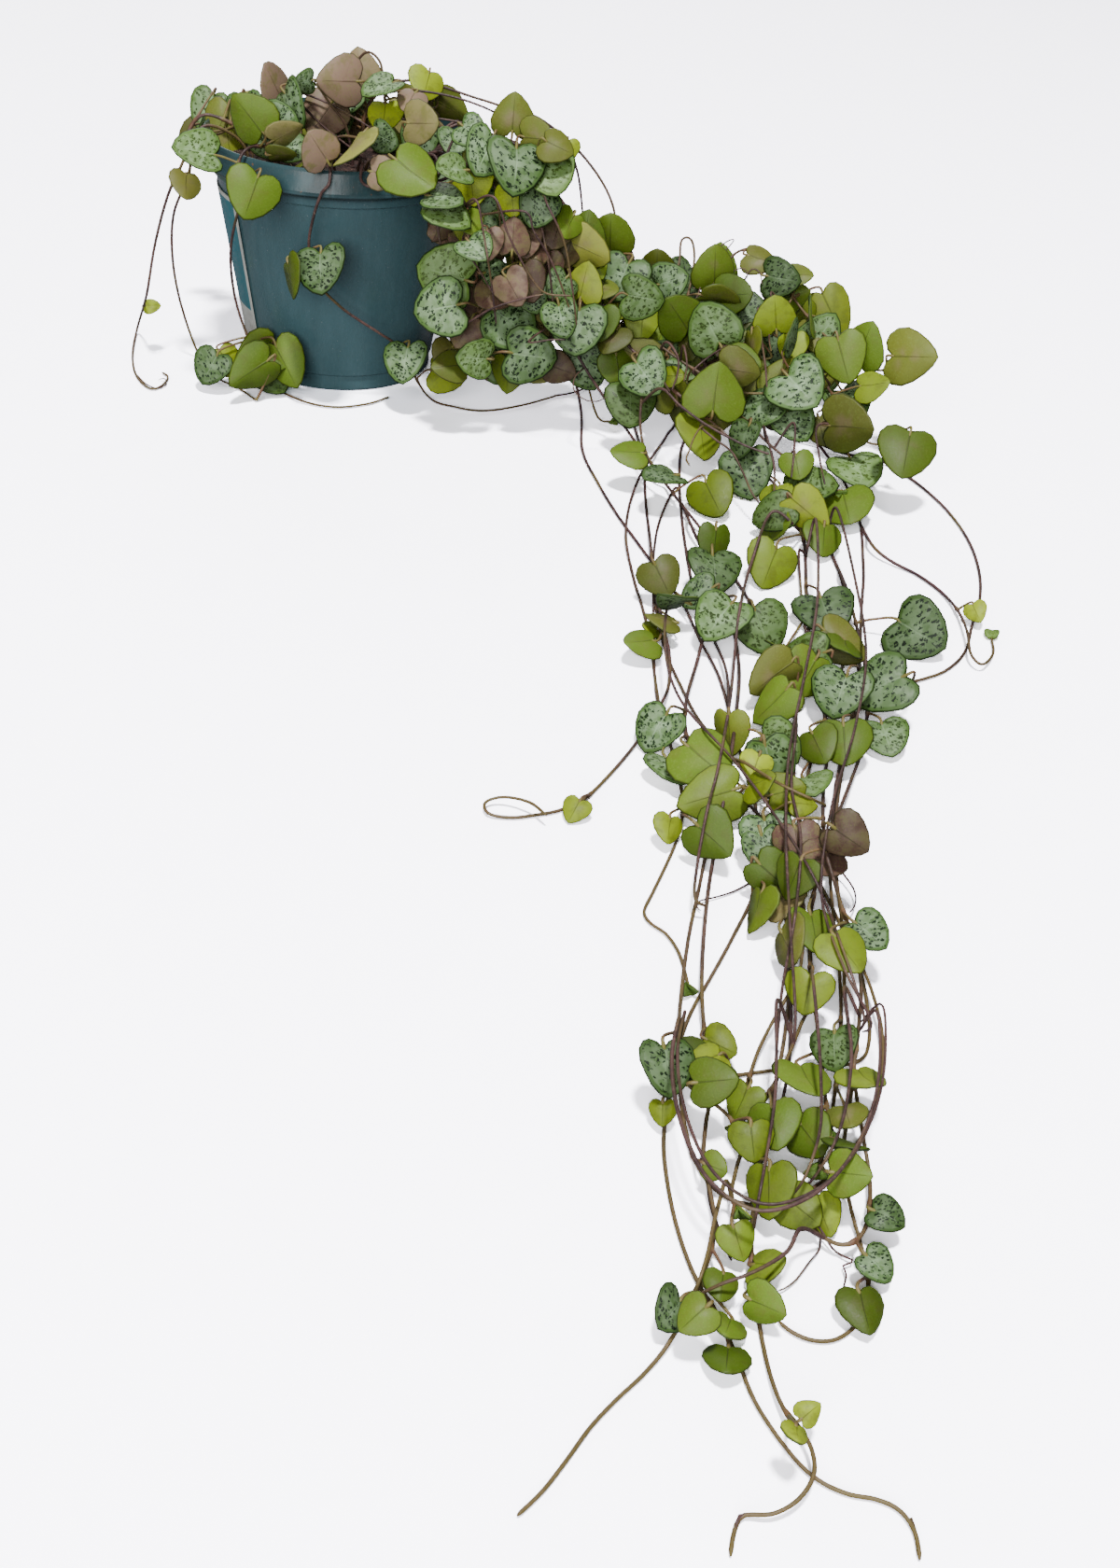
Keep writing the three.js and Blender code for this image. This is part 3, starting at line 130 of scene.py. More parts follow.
# The spots are wall (across, down, gap off the wall), air (across, down, depth along Y), heap (across, down,
# height over the heap's slope) and ground (across, down).
STEMS = [
    rooted("left_far", 186, 36, wall=[(198, 168, 9), (180, 209, 14), (166, 262, 18), (157, 316, 20)],
           ground=[(147, 352), (142, 380), (146, 402), (160, 416), (172, 414), (180, 404), (172, 398)]),
    rooted("left_near", 203, 38,
           wall=[(196, 190, 5), (186, 230, 6), (184, 262, 8), (188, 300, 9), (198, 340, 9)],
           ground=[(214, 382), (232, 404), (256, 416), (276, 430)]),
    rooted("front_left", 239, 30,
           wall=[(266, 190, 8), (252, 238, 8.5), (247, 275, 8), (252, 320, 8), (266, 362, 8)],
           ground=[(288, 408), (320, 428), (356, 436), (392, 433), (418, 425)]),
    rooted("front_mid", 275, 34,
           wall=[(344, 208, 8), (335, 236, 7.5), (331, 266, 7), (340, 302, 7), (364, 328, 7), (386, 344, 8),
                 (408, 358, 10), (428, 374, 12)],
           ground=[(458, 424), (488, 436), (520, 440), (560, 434), (596, 424)]),
    rooted("crown_loop", 250, 8, free=True,
           air=[(374, 112, -4), (377, 78, -4), (392, 56, -6), (407, 66, -9), (411, 92, -12), (414, 122, -18)]),
    rooted("crown_left", 200, 20, free=True,
           air=[(318, 128, -4), (302, 110, -8), (284, 106, -10), (266, 124, -14), (244, 138, -14),
                (220, 142, -14)]),
    rooted("crown_middle", 300, 13, free=True,
           air=[(370, 134, -14), (354, 112, -16), (340, 92, -16), (330, 88, -14)]),
    rooted("crown_low", 262, 24, free=True,
           air=[(346, 158, -32), (366, 146, -36), (392, 150, -40), (420, 158, -44), (446, 152, -42)]),
    rooted("crown_back", 60, 14, free=True,
           air=[(392, 118, 14), (412, 94, 16), (440, 86, 18), (470, 92, 18), (504, 103, 18), (545, 117, 14),
                (582, 138, 8), (606, 160, 2)]),
    rooted("crown_front", 293.5, 36.5,
           air=[(440, 172, -52), (455, 190, -58), (476, 206, -60), (494, 226, -62), (500, 250, -63)]),
    rooted("crown_right", 315.5, 36.5,
           air=[(492, 140, -38), (520, 150, -40), (552, 164, -42), (580, 184, -44), (584, 214, -46)]),
    rooted("curtain_1", 288, 41,
           air=[(456, 206, -58), (470, 250, -60), (476, 300, -62), (482, 350, -62), (486, 396, -62)]),
    rooted("curtain_2", 299, 41,
           air=[(486, 200, -54), (504, 250, -56), (512, 310, -58), (514, 366, -58), (522, 410, -58)]),
    rooted("curtain_3", 304.5, 36.5,
           air=[(508, 176, -44), (536, 214, -48), (548, 262, -50), (552, 320, -52), (562, 376, -52),
                (570, 408, -54)]),
    rooted("curtain_4", 337.5, 36.5,
           air=[(540, 150, -26), (578, 182, -32), (598, 230, -38), (606, 290, -42), (616, 350, -44),
                (626, 396, -46)],
           ground=[(640, 446), (656, 452)]),
    rooted("curtain_5", 5, 41,
           air=[(560, 122, -4), (610, 152, -8), (648, 200, -16), (660, 244, -22), (648, 286, -28),
                (634, 316, -34), (640, 352, -36)]),
    rooted("heap_1", 10.5, 36.5, air=[(560, 170, 4), (610, 250, -4), (654, 310, -12)],
           heap=[(688, 344, -4), (712, 330, 0), (727, 284, 6), (730, 258, 9), (740, 256, 10), (744, 276, 9),
                 (738, 312, 4), (726, 356, -1), (704, 396, -3)]),
    rooted("heap_2", 27, 41, air=[(560, 160, 18), (614, 230, 10), (668, 280, 4)],
           heap=[(720, 312, -2), (762, 300, 4), (790, 270, 8), (812, 272, 8), (836, 300, 4), (866, 340, 0),
                 (898, 372, 0), (936, 396, -1), (960, 392, 2)]),
    forked("heap_3", "heap_2",
           heap=[(762, 302, 3), (800, 318, 0), (836, 346, -1), (868, 382, -2), (892, 416, -1), (902, 452, 0),
                 (930, 474, 0), (958, 476, 1)]),
    rooted("heap_4", 343, 41, air=[(548, 180, -22), (592, 250, -28), (634, 310, -34)],
           heap=[(672, 344, -1), (708, 372, 1), (744, 396, 0), (786, 418, 0), (826, 420, 1), (862, 402, 0),
                 (892, 398, 0)]),
    forked("heap_5", "heap_4",
           heap=[(708, 374, 1), (692, 408, 1), (686, 444, 1), (690, 480, 2), (706, 508, 2)]),
    rooted("heap_6", 354, 41, air=[(552, 172, -12), (604, 246, -20), (650, 306, -30)],
           heap=[(700, 350, -5), (744, 372, -4), (786, 372, 1), (820, 352, 3), (846, 324, 5), (852, 304, 7)]),
    forked("heap_7", "heap_6",
           heap=[(744, 374, -4), (772, 420, -3), (804, 456, -2), (836, 486, 0), (868, 506, 1), (896, 530, 1)]),
    rooted("trail_1", 321, 41, air=[(530, 166, -38), (566, 224, -44), (590, 290, -48), (606, 360, -50)],
           ground=[(622, 436), (624, 482), (641, 518), (661, 551), (682, 580), (698, 602), (714, 624),
                   (731, 645), (750, 686), (770, 724), (784, 772), (796, 816), (810, 866), (814, 914),
                   (808, 956), (784, 1006), (762, 1046), (741, 1083), (727, 1122), (716, 1176), (711, 1223),
                   (715, 1266), (724, 1310), (737, 1350), (752, 1382), (772, 1414), (790, 1456), (808, 1500),
                   (832, 1538), (858, 1570), (880, 1588), (909, 1601), (941, 1607), (966, 1620), (981, 1644),
                   (986, 1674)]),
    rooted("trail_2", 326.5, 36.5, air=[(540, 172, -34), (582, 236, -40), (616, 306, -46), (648, 380, -52)],
           ground=[(678, 452), (689, 496), (692, 540), (697, 582), (701, 624), (705, 664), (714, 700),
                   (729, 734), (748, 770), (772, 798), (796, 824), (820, 856), (846, 890), (868, 928),
                   (884, 957), (898, 985), (913, 1014), (923, 1044), (929, 1076), (932, 1106), (926, 1132),
                   (906, 1141), (880, 1142), (845, 1145), (811, 1149), (784, 1153)]),
    rooted("trail_3", 348.5, 36.5, air=[(548, 172, -18), (590, 240, -26), (634, 316, -36), (680, 386, -48)],
           ground=[(722, 444), (714, 467), (697, 492), (683, 516), (673, 547), (671, 580), (679, 620),
                   (690, 657), (698, 694), (702, 728), (708, 762), (719, 800), (729, 840), (731, 874),
                   (725, 900), (714, 926), (700, 955), (690, 977), (698, 990), (713, 1000), (726, 1018),
                   (733, 1038), (738, 1060)]),
    rooted("trail_4", 359.5, 36.5, air=[(552, 166, -4), (600, 242, -14), (650, 318, -26), (700, 386, -42)],
           ground=[(734, 450), (729, 486), (728, 522), (732, 568), (739, 612), (748, 654), (766, 688),
                   (779, 724), (780, 777), (772, 830), (765, 876), (756, 916), (748, 956), (740, 992),
                   (734, 1030), (729, 1076), (726, 1122), (728, 1162), (733, 1202), (744, 1242), (764, 1272),
                   (790, 1288), (823, 1291), (855, 1283), (883, 1265), (905, 1242), (926, 1213), (940, 1180),
                   (946, 1142), (945, 1106), (939, 1078), (929, 1048), (914, 1016), (896, 982), (880, 950),
                   (864, 922)]),
    forked("trail_5", "trail_2",
           ground=[(698, 590), (703, 628), (709, 664), (717, 700), (716, 736), (701, 766), (680, 798),
                   (653, 830), (626, 856), (600, 868), (575, 873), (548, 876), (524, 872), (520, 860),
                   (540, 854), (568, 860), (588, 876)]),
    rooted("trail_6", 310, 41, air=[(520, 178, -42), (552, 240, -50), (586, 316, -56), (628, 396, -62)],
           ground=[(684, 478), (722, 530), (752, 568), (780, 608), (808, 652), (834, 696), (849, 742),
                   (853, 796), (848, 850), (844, 900), (842, 950), (843, 1004), (845, 1060), (842, 1100),
                   (836, 1138), (828, 1176), (822, 1218), (812, 1262), (806, 1310), (806, 1366), (814, 1422),
                   (825, 1472), (840, 1510), (858, 1532), (870, 1554), (872, 1580), (856, 1606), (828, 1622),
                   (796, 1624), (786, 1644), (782, 1674)]),
    rooted("trail_7", 16, 41,
           air=[(556, 162, 10), (608, 238, 2), (664, 306, -10), (728, 370, -26), (800, 420, -46)],
           ground=[(884, 478), (944, 494), (976, 513), (1003, 535), (1024, 558), (1040, 584), (1049, 612),
                   (1050, 640), (1042, 668), (1034, 698), (1014, 718), (984, 729), (948, 738), (922, 758),
                   (908, 790), (900, 832), (892, 876), (889, 924), (892, 974), (898, 1026), (901, 1078),
                   (899, 1130), (893, 1182), (885, 1226), (876, 1254)]),
    forked("trail_8", "trail_9",
           ground=[(922, 560), (936, 586), (956, 602), (983, 616), (1008, 634), (1026, 654), (1036, 676),
                   (1040, 700), (1052, 712), (1064, 700), (1062, 682)]),
    rooted("trail_9", 21.5, 36.5,
           air=[(560, 158, 14), (614, 232, 6), (672, 296, -4), (738, 360, -20), (810, 414, -42),
                (872, 470, -72)],
           ground=[(916, 540), (925, 604), (923, 654), (921, 704), (916, 756), (906, 806), (898, 854),
                   (894, 904), (898, 956), (904, 1008), (905, 1060), (910, 1110), (913, 1160), (907, 1204),
                   (903, 1246), (911, 1292), (922, 1332), (930, 1368), (927, 1400), (914, 1423), (893, 1436),
                   (870, 1436), (848, 1427), (830, 1412)]),
    forked("trail_10", "trail_11",
           ground=[(892, 596), (906, 628), (917, 668), (926, 710), (930, 752), (924, 800), (908, 846),
                   (890, 892), (876, 938), (868, 988), (868, 1040), (874, 1088), (880, 1134), (885, 1180),
                   (892, 1218)]),
    rooted("trail_11", 332, 41,
           air=[(550, 168, -28), (592, 246, -36), (640, 330, -48), (704, 402, -64), (776, 464, -84)],
           ground=[(846, 536), (884, 580), (904, 630), (908, 672), (902, 716), (888, 760), (872, 806),
                   (860, 856), (856, 910), (860, 964), (868, 1018), (870, 1068), (858, 1098), (845, 1130),
                   (830, 1160), (812, 1192), (798, 1224), (788, 1256), (784, 1282), (794, 1300)]),
    forked("trail_12", "trail_6",
           ground=[(752, 570), (762, 604), (760, 652), (748, 704), (735, 752), (737, 794), (757, 826),
                   (784, 848), (812, 872), (836, 904), (852, 946), (860, 996), (856, 1044), (842, 1070),
                   (824, 1102), (810, 1132), (799, 1170), (793, 1206)]),
    forked("trail_13", "trail_11",
           ground=[(852, 544), (862, 584), (864, 636), (868, 690), (880, 744), (886, 800), (882, 856),
                   (884, 906), (896, 952), (910, 998), (922, 1050), (920, 1100), (915, 1147), (919, 1182),
                   (925, 1219), (931, 1256), (932, 1290), (926, 1318), (910, 1333), (890, 1330), (870, 1315),
                   (849, 1294), (824, 1264), (798, 1228), (782, 1198), (759, 1178), (732, 1158)]),
    forked("trail_14", "trail_4",
           ground=[(730, 540), (748, 580), (768, 622), (784, 668), (792, 718), (788, 772), (780, 830),
                   (770, 888), (760, 946), (754, 1004), (752, 1062), (756, 1116), (762, 1166), (756, 1206),
                   (754, 1246), (762, 1282), (766, 1314), (758, 1352), (744, 1387), (730, 1416), (711, 1447),
                   (688, 1474), (660, 1500), (632, 1530), (606, 1566), (581, 1598), (553, 1625)]),
]

# Each leaf: (across, down, length from lobes to tip in mm, the way its tip points on the board in degrees from
# straight down, and for some a lean that turns the edge to the eye). Marbled leaves turn their upper side to the
# eye, all others their underside, which is green, olive or brown, or bright where the leaf is young.
LEAVES = {
    "marbled": [
        (211, 163, 18, -95), (223, 395, 15, -30), (290, 402, 17, 40), (344, 288, 20, -5), (435, 388, 18, -15),
        (409, 96, 16, -50, 35), (312, 114, 18, 30, 62), (329, 90, 9, -60), (369, 120, 14, 0),
        (302, 130, 13, 80), (283, 152, 13, -80), (314, 154, 12, 60), (405, 147, 12, 40), (490, 152, 15, 10),
        (503, 143, 12, 60), (520, 164, 18, -30), (552, 177, 22, 5), (588, 187, 19, 10), (577, 223, 15, -20),
        (476, 184, 14, -60), (474, 210, 17, 80), (480, 230, 18, 60), (519, 246, 11, 0), (543, 242, 13, 10),
        (507, 265, 13, 20), (478, 294, 22, -95), (472, 330, 20, -90), (531, 283, 15, 90), (562, 318, 14, 0),
        (593, 307, 13, -20), (547, 346, 23, 60), (600, 342, 17, 0), (619, 352, 20, -5), (518, 382, 19, -60),
        (567, 380, 21, 80), (627, 388, 19, 10), (667, 298, 19, -20), (688, 318, 17, 80), (715, 306, 15, 100),
        (763, 351, 20, -150), (804, 338, 17, 70), (836, 298, 16, 80), (857, 416, 21, 30), (900, 421, 18, 30),
        (830, 430, 15, 0), (852, 452, 17, 40), (812, 442, 18, -60), (919, 499, 21, 20), (868, 523, 20, 100),
        (692, 402, 18, 40), (675, 434, 18, 0), (712, 509, 16, -70), (801, 507, 20, 10), (765, 610, 18, 0),
        (772, 662, 18, -30), (815, 672, 18, 20), (885, 655, 19, 10), (1000, 678, 20, 50), (945, 735, 20, -60),
        (903, 740, 17, -30), (950, 790, 15, 10), (832, 800, 15, 60), (708, 782, 15, -50), (720, 820, 14, 0),
        (870, 836, 14, 20), (822, 895, 13, 0), (857, 1028, 12, -20), (930, 1000, 11, 40), (713, 1140, 13, 0),
        (895, 1122, 11, 0), (950, 1303, 8, 60), (939, 1356, 8, 45), (720, 1405, 9, -30),
        (325, 160, 14, 100, 60), (372, 112, 13, -30, 40), (690, 310, 16, 100, 50), (846, 360, 15, 150, 50),
        (798, 470, 15, -20, 50),
    ],
    "green": [
        (268, 124, 18, -150), (271, 208, 19, -25), (282, 384, 18, -20), (316, 300, 17, 15, 78),
        (440, 185, 21, 50), (506, 233, 12, 0), (608, 242, 13, -30), (628, 247, 15, 170), (654, 252, 18, 175),
        (637, 276, 14, 10), (639, 340, 14, 20), (545, 400, 15, 0), (656, 394, 15, 10), (725, 339, 19, -135),
        (692, 365, 15, -30), (767, 288, 18, 170), (785, 316, 16, 90), (829, 341, 16, 180), (849, 372, 13, 0),
        (806, 375, 14, 90), (903, 383, 20, 15), (925, 369, 19, 150), (935, 413, 14, 90), (971, 484, 21, 0),
        (908, 541, 19, 5), (854, 499, 12, 0), (766, 420, 22, 170), (753, 466, 20, -10), (763, 531, 18, 20),
        (674, 485, 14, -80), (825, 523, 13, 0), (882, 577, 15, 0), (825, 605, 18, -20), (712, 640, 15, -30),
        (690, 682, 13, -60), (852, 690, 18, 20), (865, 722, 16, -20), (898, 688, 14, 20), (832, 742, 16, -40),
        (905, 795, 16, 0), (753, 815, 18, 40), (876, 800, 13, 10), (762, 897, 14, 40), (852, 940, 12, -20),
        (862, 990, 13, 0), (905, 1020, 13, 20), (866, 1062, 11, -20), (740, 1130, 10, 60),
        (760, 1155, 11, 60), (870, 1160, 13, 0), (920, 1155, 11, 20), (830, 1205, 12, 10),
        (868, 1218, 11, 20), (902, 1232, 10, 50), (910, 1258, 10, 70), (825, 1275, 12, 0),
        (858, 1296, 10, 40), (882, 1302, 9, 20), (925, 1403, 10, 0), (790, 1330, 8, 20), (815, 1360, 9, 70),
        (780, 1370, 8, -20), (776, 1410, 9, 0), (820, 1398, 9, 60), (745, 1410, 8, -60), (788, 1447, 9, 0),
        (796, 1180, 9, -30), (806, 1222, 9, 0), (766, 1250, 6, 60), (868, 338, 16, 180, 60),
        (905, 690, 16, 10, 55), (812, 975, 13, -20, 50), (690, 345, 14, -20, 30), (842, 560, 14, 20, 40),
    ],
    "olive": [
        (550, 124, 16, 170), (575, 148, 14, 80), (592, 160, 13, 60), (625, 304, 16, 170), (650, 306, 14, 60),
        (704, 288, 16, 180), (653, 362, 14, -10), (814, 278, 14, 70), (848, 306, 15, 70), (871, 354, 17, 10),
        (790, 394, 17, 70), (975, 381, 21, 90), (908, 457, 21, 85), (662, 330, 12, 0), (735, 372, 13, 30),
        (745, 398, 14, -20), (880, 460, 13, 0), (820, 985, 11, -20), (900, 1190, 9, 10),
        (300, 163, 13, 90, 40), (438, 112, 14, 80, 30), (480, 392, 14, -80, 30), (770, 318, 17, 90, 55),
        (806, 372, 15, 0, 40), (708, 618, 14, 20, 30), (700, 660, 12, -60, 40), (845, 1010, 13, 20, 30),
    ],
    "brown": [
        (198, 200, 13, 0), (290, 93, 20, -170, 60), (346, 124, 18, -40), (365, 88, 19, -90),
        (386, 76, 17, 180), (346, 162, 15, -140), (377, 158, 20, -30, 58), (445, 130, 15, 60),
        (440, 108, 12, -30), (417, 186, 13, 60), (526, 254, 13, 0), (562, 258, 14, 10), (573, 268, 13, 30),
        (596, 250, 13, -10), (614, 262, 13, 20), (527, 309, 14, -20), (565, 302, 15, 10), (579, 398, 12, 60),
        (855, 905, 13, 10), (908, 897, 12, 60), (880, 918, 12, -30), (300, 142, 14, 100, 50),
        (545, 305, 15, 20), (512, 318, 14, -10), (498, 355, 14, -20), (590, 285, 14, 10),
        (540, 262, 14, 160, 30), (488, 374, 14, -30), (583, 330, 13, 0), (600, 395, 13, 60),
        (775, 398, 14, 0, 50), (848, 962, 13, 10, 30),
    ],
    "young": [
        (241, 387, 13, 30), (478, 402, 15, 80), (413, 124, 14, 0), (458, 91, 14, -20), (507, 197, 15, 10),
        (549, 214, 13, 0), (608, 160, 9, 0), (722, 403, 9, 90), (706, 668, 8, -60), (716, 888, 9, 0),
        (616, 868, 8, -30), (806, 834, 11, 80), (842, 848, 11, 110), (860, 862, 8, 90), (770, 1120, 9, 60),
        (757, 1136, 9, -60), (710, 1192, 6, 0), (866, 1512, 5, 120), (858, 1530, 5, 0), (162, 327, 7, 90),
        (1046, 656, 8, 20), (810, 820, 9, -30),
    ],
}

# Thin runners, threads and young shoots that the frame leaves out, by how they lie: the depth or height, the
# radius, how young it is, and its spots on the board.
RUNNERS = {
    "air": [
        (-12, 0.5, 0, [(228, 146), (252, 136), (280, 131), (322, 135), (362, 146)]),
        (-16, 0.5, 0, [(322, 108), (345, 134), (370, 154), (394, 172)]),
        (-14, 0.45, 0.3, [(284, 112), (277, 134), (272, 158), (270, 176)]),
        (-10, 0.5, 0, [(425, 96), (462, 99), (500, 108), (536, 124), (566, 150), (582, 186)]),
        (-8, 0.45, 0, [(432, 128), (468, 127), (510, 136), (546, 156), (560, 184)]),
        (-12, 0.45, 0, [(300, 96), (330, 102), (366, 118), (402, 140), (430, 158)]),
        (-79, 0.5, 0, [(528, 210), (544, 250), (558, 278), (568, 296), (584, 314), (612, 317)]),
        (-78, 0.5, 0, [(560, 226), (572, 248), (588, 274), (600, 302), (610, 330)]),
        (-60, 0.45, 0.8, [(532, 214), (536, 242), (528, 266), (524, 278)]),
        (-76, 0.45, 0, [(496, 262), (510, 284), (520, 300), (530, 318)]),
        (-80, 0.5, 0.3, [(474, 360), (504, 344), (528, 330), (560, 320), (584, 315)]),
        (-32, 0.5, 0, [(590, 206), (614, 240), (628, 258), (644, 282)]),
        (-16, 0.5, 0, [(612, 160), (620, 190), (624, 226), (626, 256)]),
        (-78, 0.45, 0.5, [(566, 366), (590, 364), (608, 364)]),
        (-79, 0.5, 0, [(510, 214), (518, 250), (526, 300), (532, 350)]),
        (-66, 0.5, 0, [(574, 226), (584, 262), (590, 300), (594, 346)]),
        (-74, 0.5, 0, [(586, 218), (604, 258), (612, 300), (618, 350)]),
    ],
    "heap": [
        (0, 0.3, 0.6, [(616, 404), (615, 418), (626, 428), (640, 430), (652, 424)]),
        (14, 0.55, 0, [(692, 334), (694, 356), (702, 382), (710, 406), (718, 420)]),
        (13, 0.5, 0, [(630, 322), (660, 332), (680, 340), (696, 340)]),
        (12, 0.55, 0, [(714, 366), (726, 382), (726, 400), (720, 418)]),
        (12, 0.5, 0, [(732, 370), (736, 390), (732, 412)]),
        (11, 0.55, 0, [(812, 330), (816, 364), (820, 392), (822, 418)]),
        (11, 0.45, 0.4, [(826, 312), (829, 336), (824, 360), (827, 380)]),
        (9, 0.5, 0, [(842, 326), (844, 352), (842, 376), (838, 392)]),
        (11, 0.45, 0.3, [(742, 398), (760, 382), (776, 372), (792, 362)]),
        (12, 0.6, 0.2, [(708, 416), (728, 434), (752, 452), (776, 466), (800, 478), (828, 488)]),
        (10, 0.5, 0.6, [(750, 456), (768, 472), (784, 484), (796, 506), (808, 532), (832, 560)]),
        (11, 0.5, 1, [(754, 456), (744, 468), (738, 484), (735, 492), (741, 502)]),
        (9, 0.5, 0, [(818, 456), (826, 484), (830, 508), (828, 556)]),
        (9, 0.5, 0, [(850, 452), (851, 480), (848, 512)]),
        (9, 0.5, 0, [(876, 456), (878, 490), (884, 520)]),
        (9, 0.32, 0.7, [(778, 300), (790, 288), (800, 290), (800, 302)]),
        (11, 0.34, 0.3, [(746, 320), (756, 290), (772, 264), (787, 256), (778, 268), (764, 284)]),
        (9, 0.36, 0.6, [(800, 296), (806, 288), (814, 292), (817, 308)]),
    ],
    "ground": [
        (1.4, 0.5, 0, [(722, 524), (706, 560), (700, 600), (700, 650), (701, 706), (704, 750), (716, 784)]),
        (14, 0.5, 0, [(720, 604), (712, 684), (728, 748), (784, 812), (832, 876), (872, 940), (904, 1020),
                      (926, 1090)]),
        (9, 0.6, 0, [(828, 548), (806, 600), (792, 656), (783, 744), (770, 820), (756, 876), (744, 956)]),
        (2.4, 0.5, 0, [(856, 590), (858, 630), (861, 662), (866, 692)]),
        (16, 0.55, 0, [(874, 556), (876, 640), (862, 724), (846, 804), (842, 884), (846, 980), (852, 1080)]),
        (15, 0.5, 0, [(896, 544), (916, 620), (928, 700), (916, 780), (892, 860), (880, 956), (904, 1036),
                      (934, 1096)]),
        (13, 0.5, 0.2, [(846, 706), (853, 772), (848, 840), (858, 900), (852, 980), (838, 1060),
                        (831, 1140)]),
        (2.4, 0.5, 0, [(912, 770), (896, 836), (893, 900), (898, 940)]),
        (10, 0.55, 1, [(796, 816), (812, 826), (832, 838), (852, 848), (872, 857), (886, 864)]),
        (1, 0.3, 0.4, [(812, 940), (800, 948), (784, 956), (764, 962), (750, 965), (746, 972), (751, 976)]),
        (3, 0.3, 0.2, [(898, 930), (908, 942), (916, 956), (916, 970), (910, 978)]),
        (19, 0.5, 0.1, [(728, 1090), (720, 1130), (724, 1180), (741, 1234), (767, 1272), (807, 1296),
                        (847, 1292), (887, 1268), (918, 1228), (938, 1174), (943, 1120), (938, 1082)]),
        (17.5, 0.42, 0.1, [(734, 1083), (726, 1123), (730, 1173), (747, 1227), (773, 1265), (813, 1289),
                           (853, 1285), (893, 1261), (924, 1221), (944, 1167), (949, 1113), (944, 1075)]),
        (18, 0.45, 0, [(833, 1070), (832, 1130), (830, 1180), (822, 1234), (812, 1290)]),
        (18.5, 0.45, 0, [(870, 1040), (877, 1110), (880, 1170), (878, 1214), (862, 1262)]),
        (17, 0.45, 0, [(904, 1056), (912, 1120), (908, 1176), (896, 1220), (872, 1262)]),
        (0.9, 0.45, 0.5, [(594, 424), (608, 422), (622, 418), (636, 410), (650, 400)]),
        (1, 0.5, 0.5, [(757, 1244), (760, 1282), (768, 1312), (780, 1342), (787, 1358)]),
        (12, 0.5, 0.2, [(858, 1316), (846, 1338), (828, 1352), (800, 1366), (772, 1376)]),
        (1.4, 0.28, 0, [(873, 1296), (879, 1334), (867, 1352), (852, 1372), (838, 1382), (828, 1384)]),
        (1.2, 0.28, 0, [(876, 1312), (892, 1338), (904, 1346), (917, 1352), (902, 1356), (908, 1366),
                        (904, 1376), (907, 1385)]),
        (2, 0.55, 0, [(844, 1036), (847, 1080), (847, 1120), (843, 1156), (836, 1190)]),
        (12, 0.5, 1, [(778, 1264), (770, 1290), (764, 1314), (759, 1340), (752, 1364), (743, 1388)]),
        (0.5, 0.3, 0, [(793, 1622), (787, 1640), (784, 1656), (786, 1668)]),
        (0.5, 0.3, 0, [(976, 1627), (981, 1640), (983, 1656), (986, 1668)]),
        (0.5, 0.3, 0, [(147, 402), (156, 411), (168, 416), (178, 412), (176, 405), (168, 408)]),
    ],
}

# More leaves deep in the mass, behind those of the frame: how they lie, how many, and between
# which spots on the board, depths or heights, and lengths they are spread, with their kinds in turn.
FILLERS = [
    ("air", 30, (486, 642), (176, 372), (-46, -30), (13, 20), ("brown", "marbled", "brown", "olive")),
    ("air", 22, (212, 470), (100, 142), (6, 38), (13, 20), ("brown", "olive", "marbled")),
    ("air", 8, (230, 266), (112, 144), (-6, 24), (13, 17), ("olive", "marbled", "brown")),
    ("air", 9, (398, 470), (112, 142), (6, 34), (14, 19), ("brown", "green", "marbled")),
    ("heap", 30, (650, 890), (290, 436), (-11, -5), (13, 20), ("olive", "marbled", "brown", "green")),
    ("ground", 14, (760, 890), (560, 960), (2, 5), (12, 17), ("marbled", "olive", "green")),
    ("ground", 3, (268, 316), (390, 408), (9, 14), (18, 21), ("green",)),
    ("heap", 12, (655, 835), (335, 402), (-11, -4), (12, 18), ("olive", "marbled", "olive")),
    ("air", 7, (486, 516), (230, 320), (-50, -34), (13, 18), ("brown", "marbled")),
    ("heap", 5, (804, 830), (346, 386), (-9, -3), (15, 19), ("olive", "marbled")),
    ("heap", 3, (714, 732), (374, 396), (-9, -3), (15, 18), ("marbled", "olive")),
    ("heap", 3, (768, 790), (372, 398), (-9, -3), (15, 18), ("olive", "brown")),
]


# ---------- small tools for points ----------

def plus(a, b, share=1.0):
    """a + share * b."""
    return (a[0] + share * b[0], a[1] + share * b[1], a[2] + share * b[2])


def minus(a, b):
    return (a[0] - b[0], a[1] - b[1], a[2] - b[2])


def times(a, factor):
    return (a[0] * factor, a[1] * factor, a[2] * factor)


def dot(a, b):
    return a[0] * b[0] + a[1] * b[1] + a[2] * b[2]


def cross(a, b):
    return (a[1] * b[2] - a[2] * b[1], a[2] * b[0] - a[0] * b[2], a[0] * b[1] - a[1] * b[0])


def size(a):
    return math.sqrt(dot(a, a))


def unit(a):
    return times(a, 1 / (size(a) or 1))


def distance(a, b):
    return size(minus(a, b))


def between(a, b, share):
    return plus(a, minus(b, a), share)


def nearest_point(points, place):
    return min(points, key=lambda point: distance(point, place))


def nearest_stem(stems, place):
    return min(stems, key=lambda each: distance(nearest_point(each["route"], place), place))


def turned_about(v, axis, angle):
    """v turned about a unit axis."""
    cos, sin = math.cos(angle), math.sin(angle)
    return plus(plus(times(v, cos), cross(axis, v), sin), axis, dot(axis, v) * (1 - cos))


